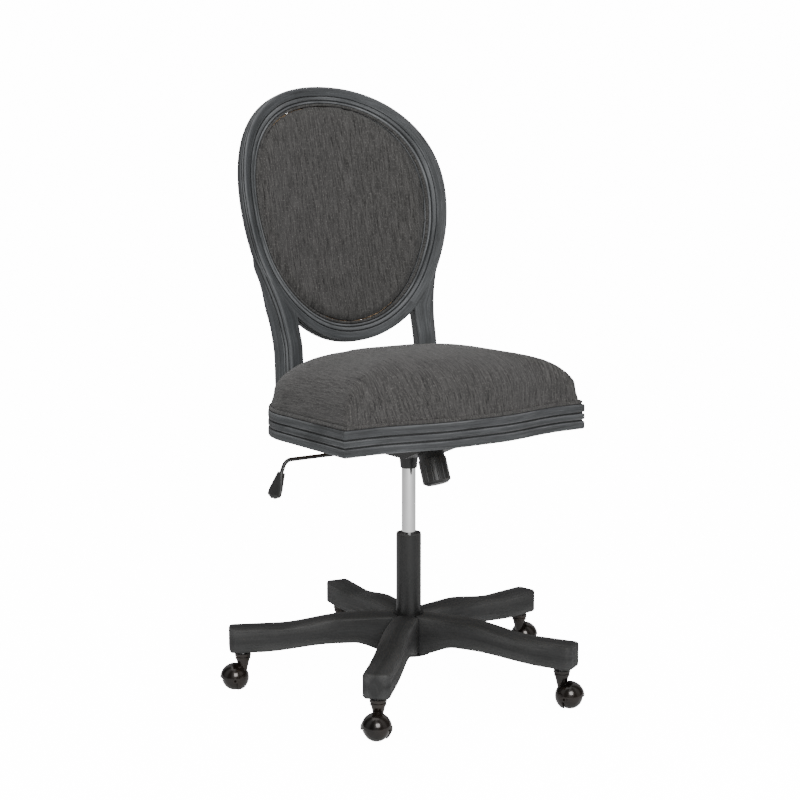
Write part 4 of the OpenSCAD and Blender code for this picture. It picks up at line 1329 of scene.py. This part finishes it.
@dataclass
class Studio:
    """A plain pale floor, soft light and the camera."""

    target: tuple[float, float, float] = (-0.0141, 0.00985, 0.572)
    azimuth: float = math.radians(34.93)
    elevation: float = math.radians(8.74)
    distance: float = 3.325
    lens: float = 76.37
    floor_r: float = 30.0
    backdrop: float = 15.0
    floor_glow: float = 14.5
    floor_sides: int = 96
    sensor: float = 36.0

    def build(self) -> None:
        """Makes the camera, the lights, the surroundings and the floor."""
        scene = bpy.context.scene
        ahead = Vector((math.sin(self.azimuth) * math.cos(self.elevation),
                        math.cos(self.azimuth) * math.cos(self.elevation), -math.sin(self.elevation)))
        data = bpy.data.cameras.new("camera")
        data.lens, data.sensor_width = self.lens, self.sensor
        data.clip_start, data.clip_end = 0.05, 100.0
        camera = bpy.data.objects.new("camera", data)
        camera.location = Vector(self.target) - ahead * self.distance
        camera.rotation_euler = ahead.to_track_quat("-Z", "Y").to_euler()
        scene.collection.objects.link(camera)
        scene.camera = camera
        self.surround()
        self.lamp("key", (-1.3, -3.0, 2.2), 1.7, 118.0)
        self.lamp("top", (-0.3, 0.2, 3.4), 2.4, 25.0)
        turn = np.linspace(0, 2 * math.pi, self.floor_sides, endpoint=False)
        rim = np.stack([self.floor_r * np.cos(turn), self.floor_r * np.sin(turn), np.zeros(self.floor_sides)], axis=1)
        mesh = bpy.data.meshes.new("floor")
        mesh.from_pydata(rim.tolist(), [], [list(range(self.floor_sides))])
        floor = bpy.data.objects.new("floor", mesh)
        material, graph, shader = new_material("pale floor")
        shader.inputs["Base Color"].default_value = (0.90, 0.90, 0.90, 1.0)
        shader.inputs["Roughness"].default_value = 0.9
        shader.inputs["Specular IOR Level"].default_value = 0.1
        shader.inputs["Emission Color"].default_value = (1.0, 1.0, 1.0, 1.0)
        seen = graph.add("LightPath").outputs["Is Camera Ray"]
        graph.tree.links.new(graph.math("MULTIPLY", seen, self.floor_glow), shader.inputs["Emission Strength"])
        mesh.materials.append(material)
        scene.collection.objects.link(floor)

    def surround(self) -> None:
        """The surroundings: a bright backdrop for the camera, and a dome that is dimmer low down.

        Shiny pieces see the dome with upright dark bands: a sine of five times the compass angle.
        """
        world = bpy.data.worlds.new("surroundings")
        bpy.context.scene.world = world
        world.use_nodes = True
        world.node_tree.nodes.clear()
        graph = Graph(world.node_tree)
        path = graph.add("LightPath")
        parts = graph.add("SeparateXYZ", {0: graph.add("TexCoord").outputs["Generated"]})
        compass = graph.math("ARCTAN2", parts.outputs[1], parts.outputs[0])
        bands = graph.span(graph.math("SINE", graph.math("MULTIPLY", compass, 5.0)), -0.5, 0.5, 0.22, 1.15)
        dome = graph.span(parts.outputs[2], -0.2, 0.9, 0.30, 0.72)
        banded = graph.math("MULTIPLY", dome, bands)
        level = graph.add("Mix", {0: path.outputs["Is Glossy Ray"], 2: dome, 3: banded}).outputs[0]
        level = graph.add("Mix", {0: path.outputs["Is Camera Ray"], 2: level, 3: self.backdrop}).outputs[0]
        ground = graph.add("Background", {"Color": (1.0, 1.0, 1.0, 1.0), "Strength": level})
        graph.add("OutputWorld", {"Surface": ground.outputs[0]})

    def lamp(self, name: str, place: tuple[float, float, float], size: float, power: float) -> None:
        """A soft square lamp that faces the chair's middle.

        Args:
            name: Its name.
            place: Where it stands.
            size: Its side, in metres.
            power: Its power, in watts.
        """
        data = bpy.data.lights.new(name, "AREA")
        data.size, data.energy = size, power
        lamp = bpy.data.objects.new(name, data)
        lamp.location = place
        lamp.rotation_euler = (Vector(self.target) - Vector(place)).to_track_quat("-Z", "Y").to_euler()
        bpy.context.scene.collection.objects.link(lamp)


def main() -> None:
    """Builds the chair's pieces in order."""
    logging.basicConfig(level=logging.INFO, format="%(name)s: %(message)s")
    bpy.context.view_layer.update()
    Studio().build()
    paints = Paints()
    paints.dress_nodes()
    back = OvalBack()
    back.build(paints)
    for side in (1, -1):
        Stile(back, side).build(paints)
    Seat().build(paints)
    for number in range(1, BaseArm.count + 1):
        BaseArm(number).build(paints)
    Lever().build(paints)


if __name__ == "__main__":
    main()
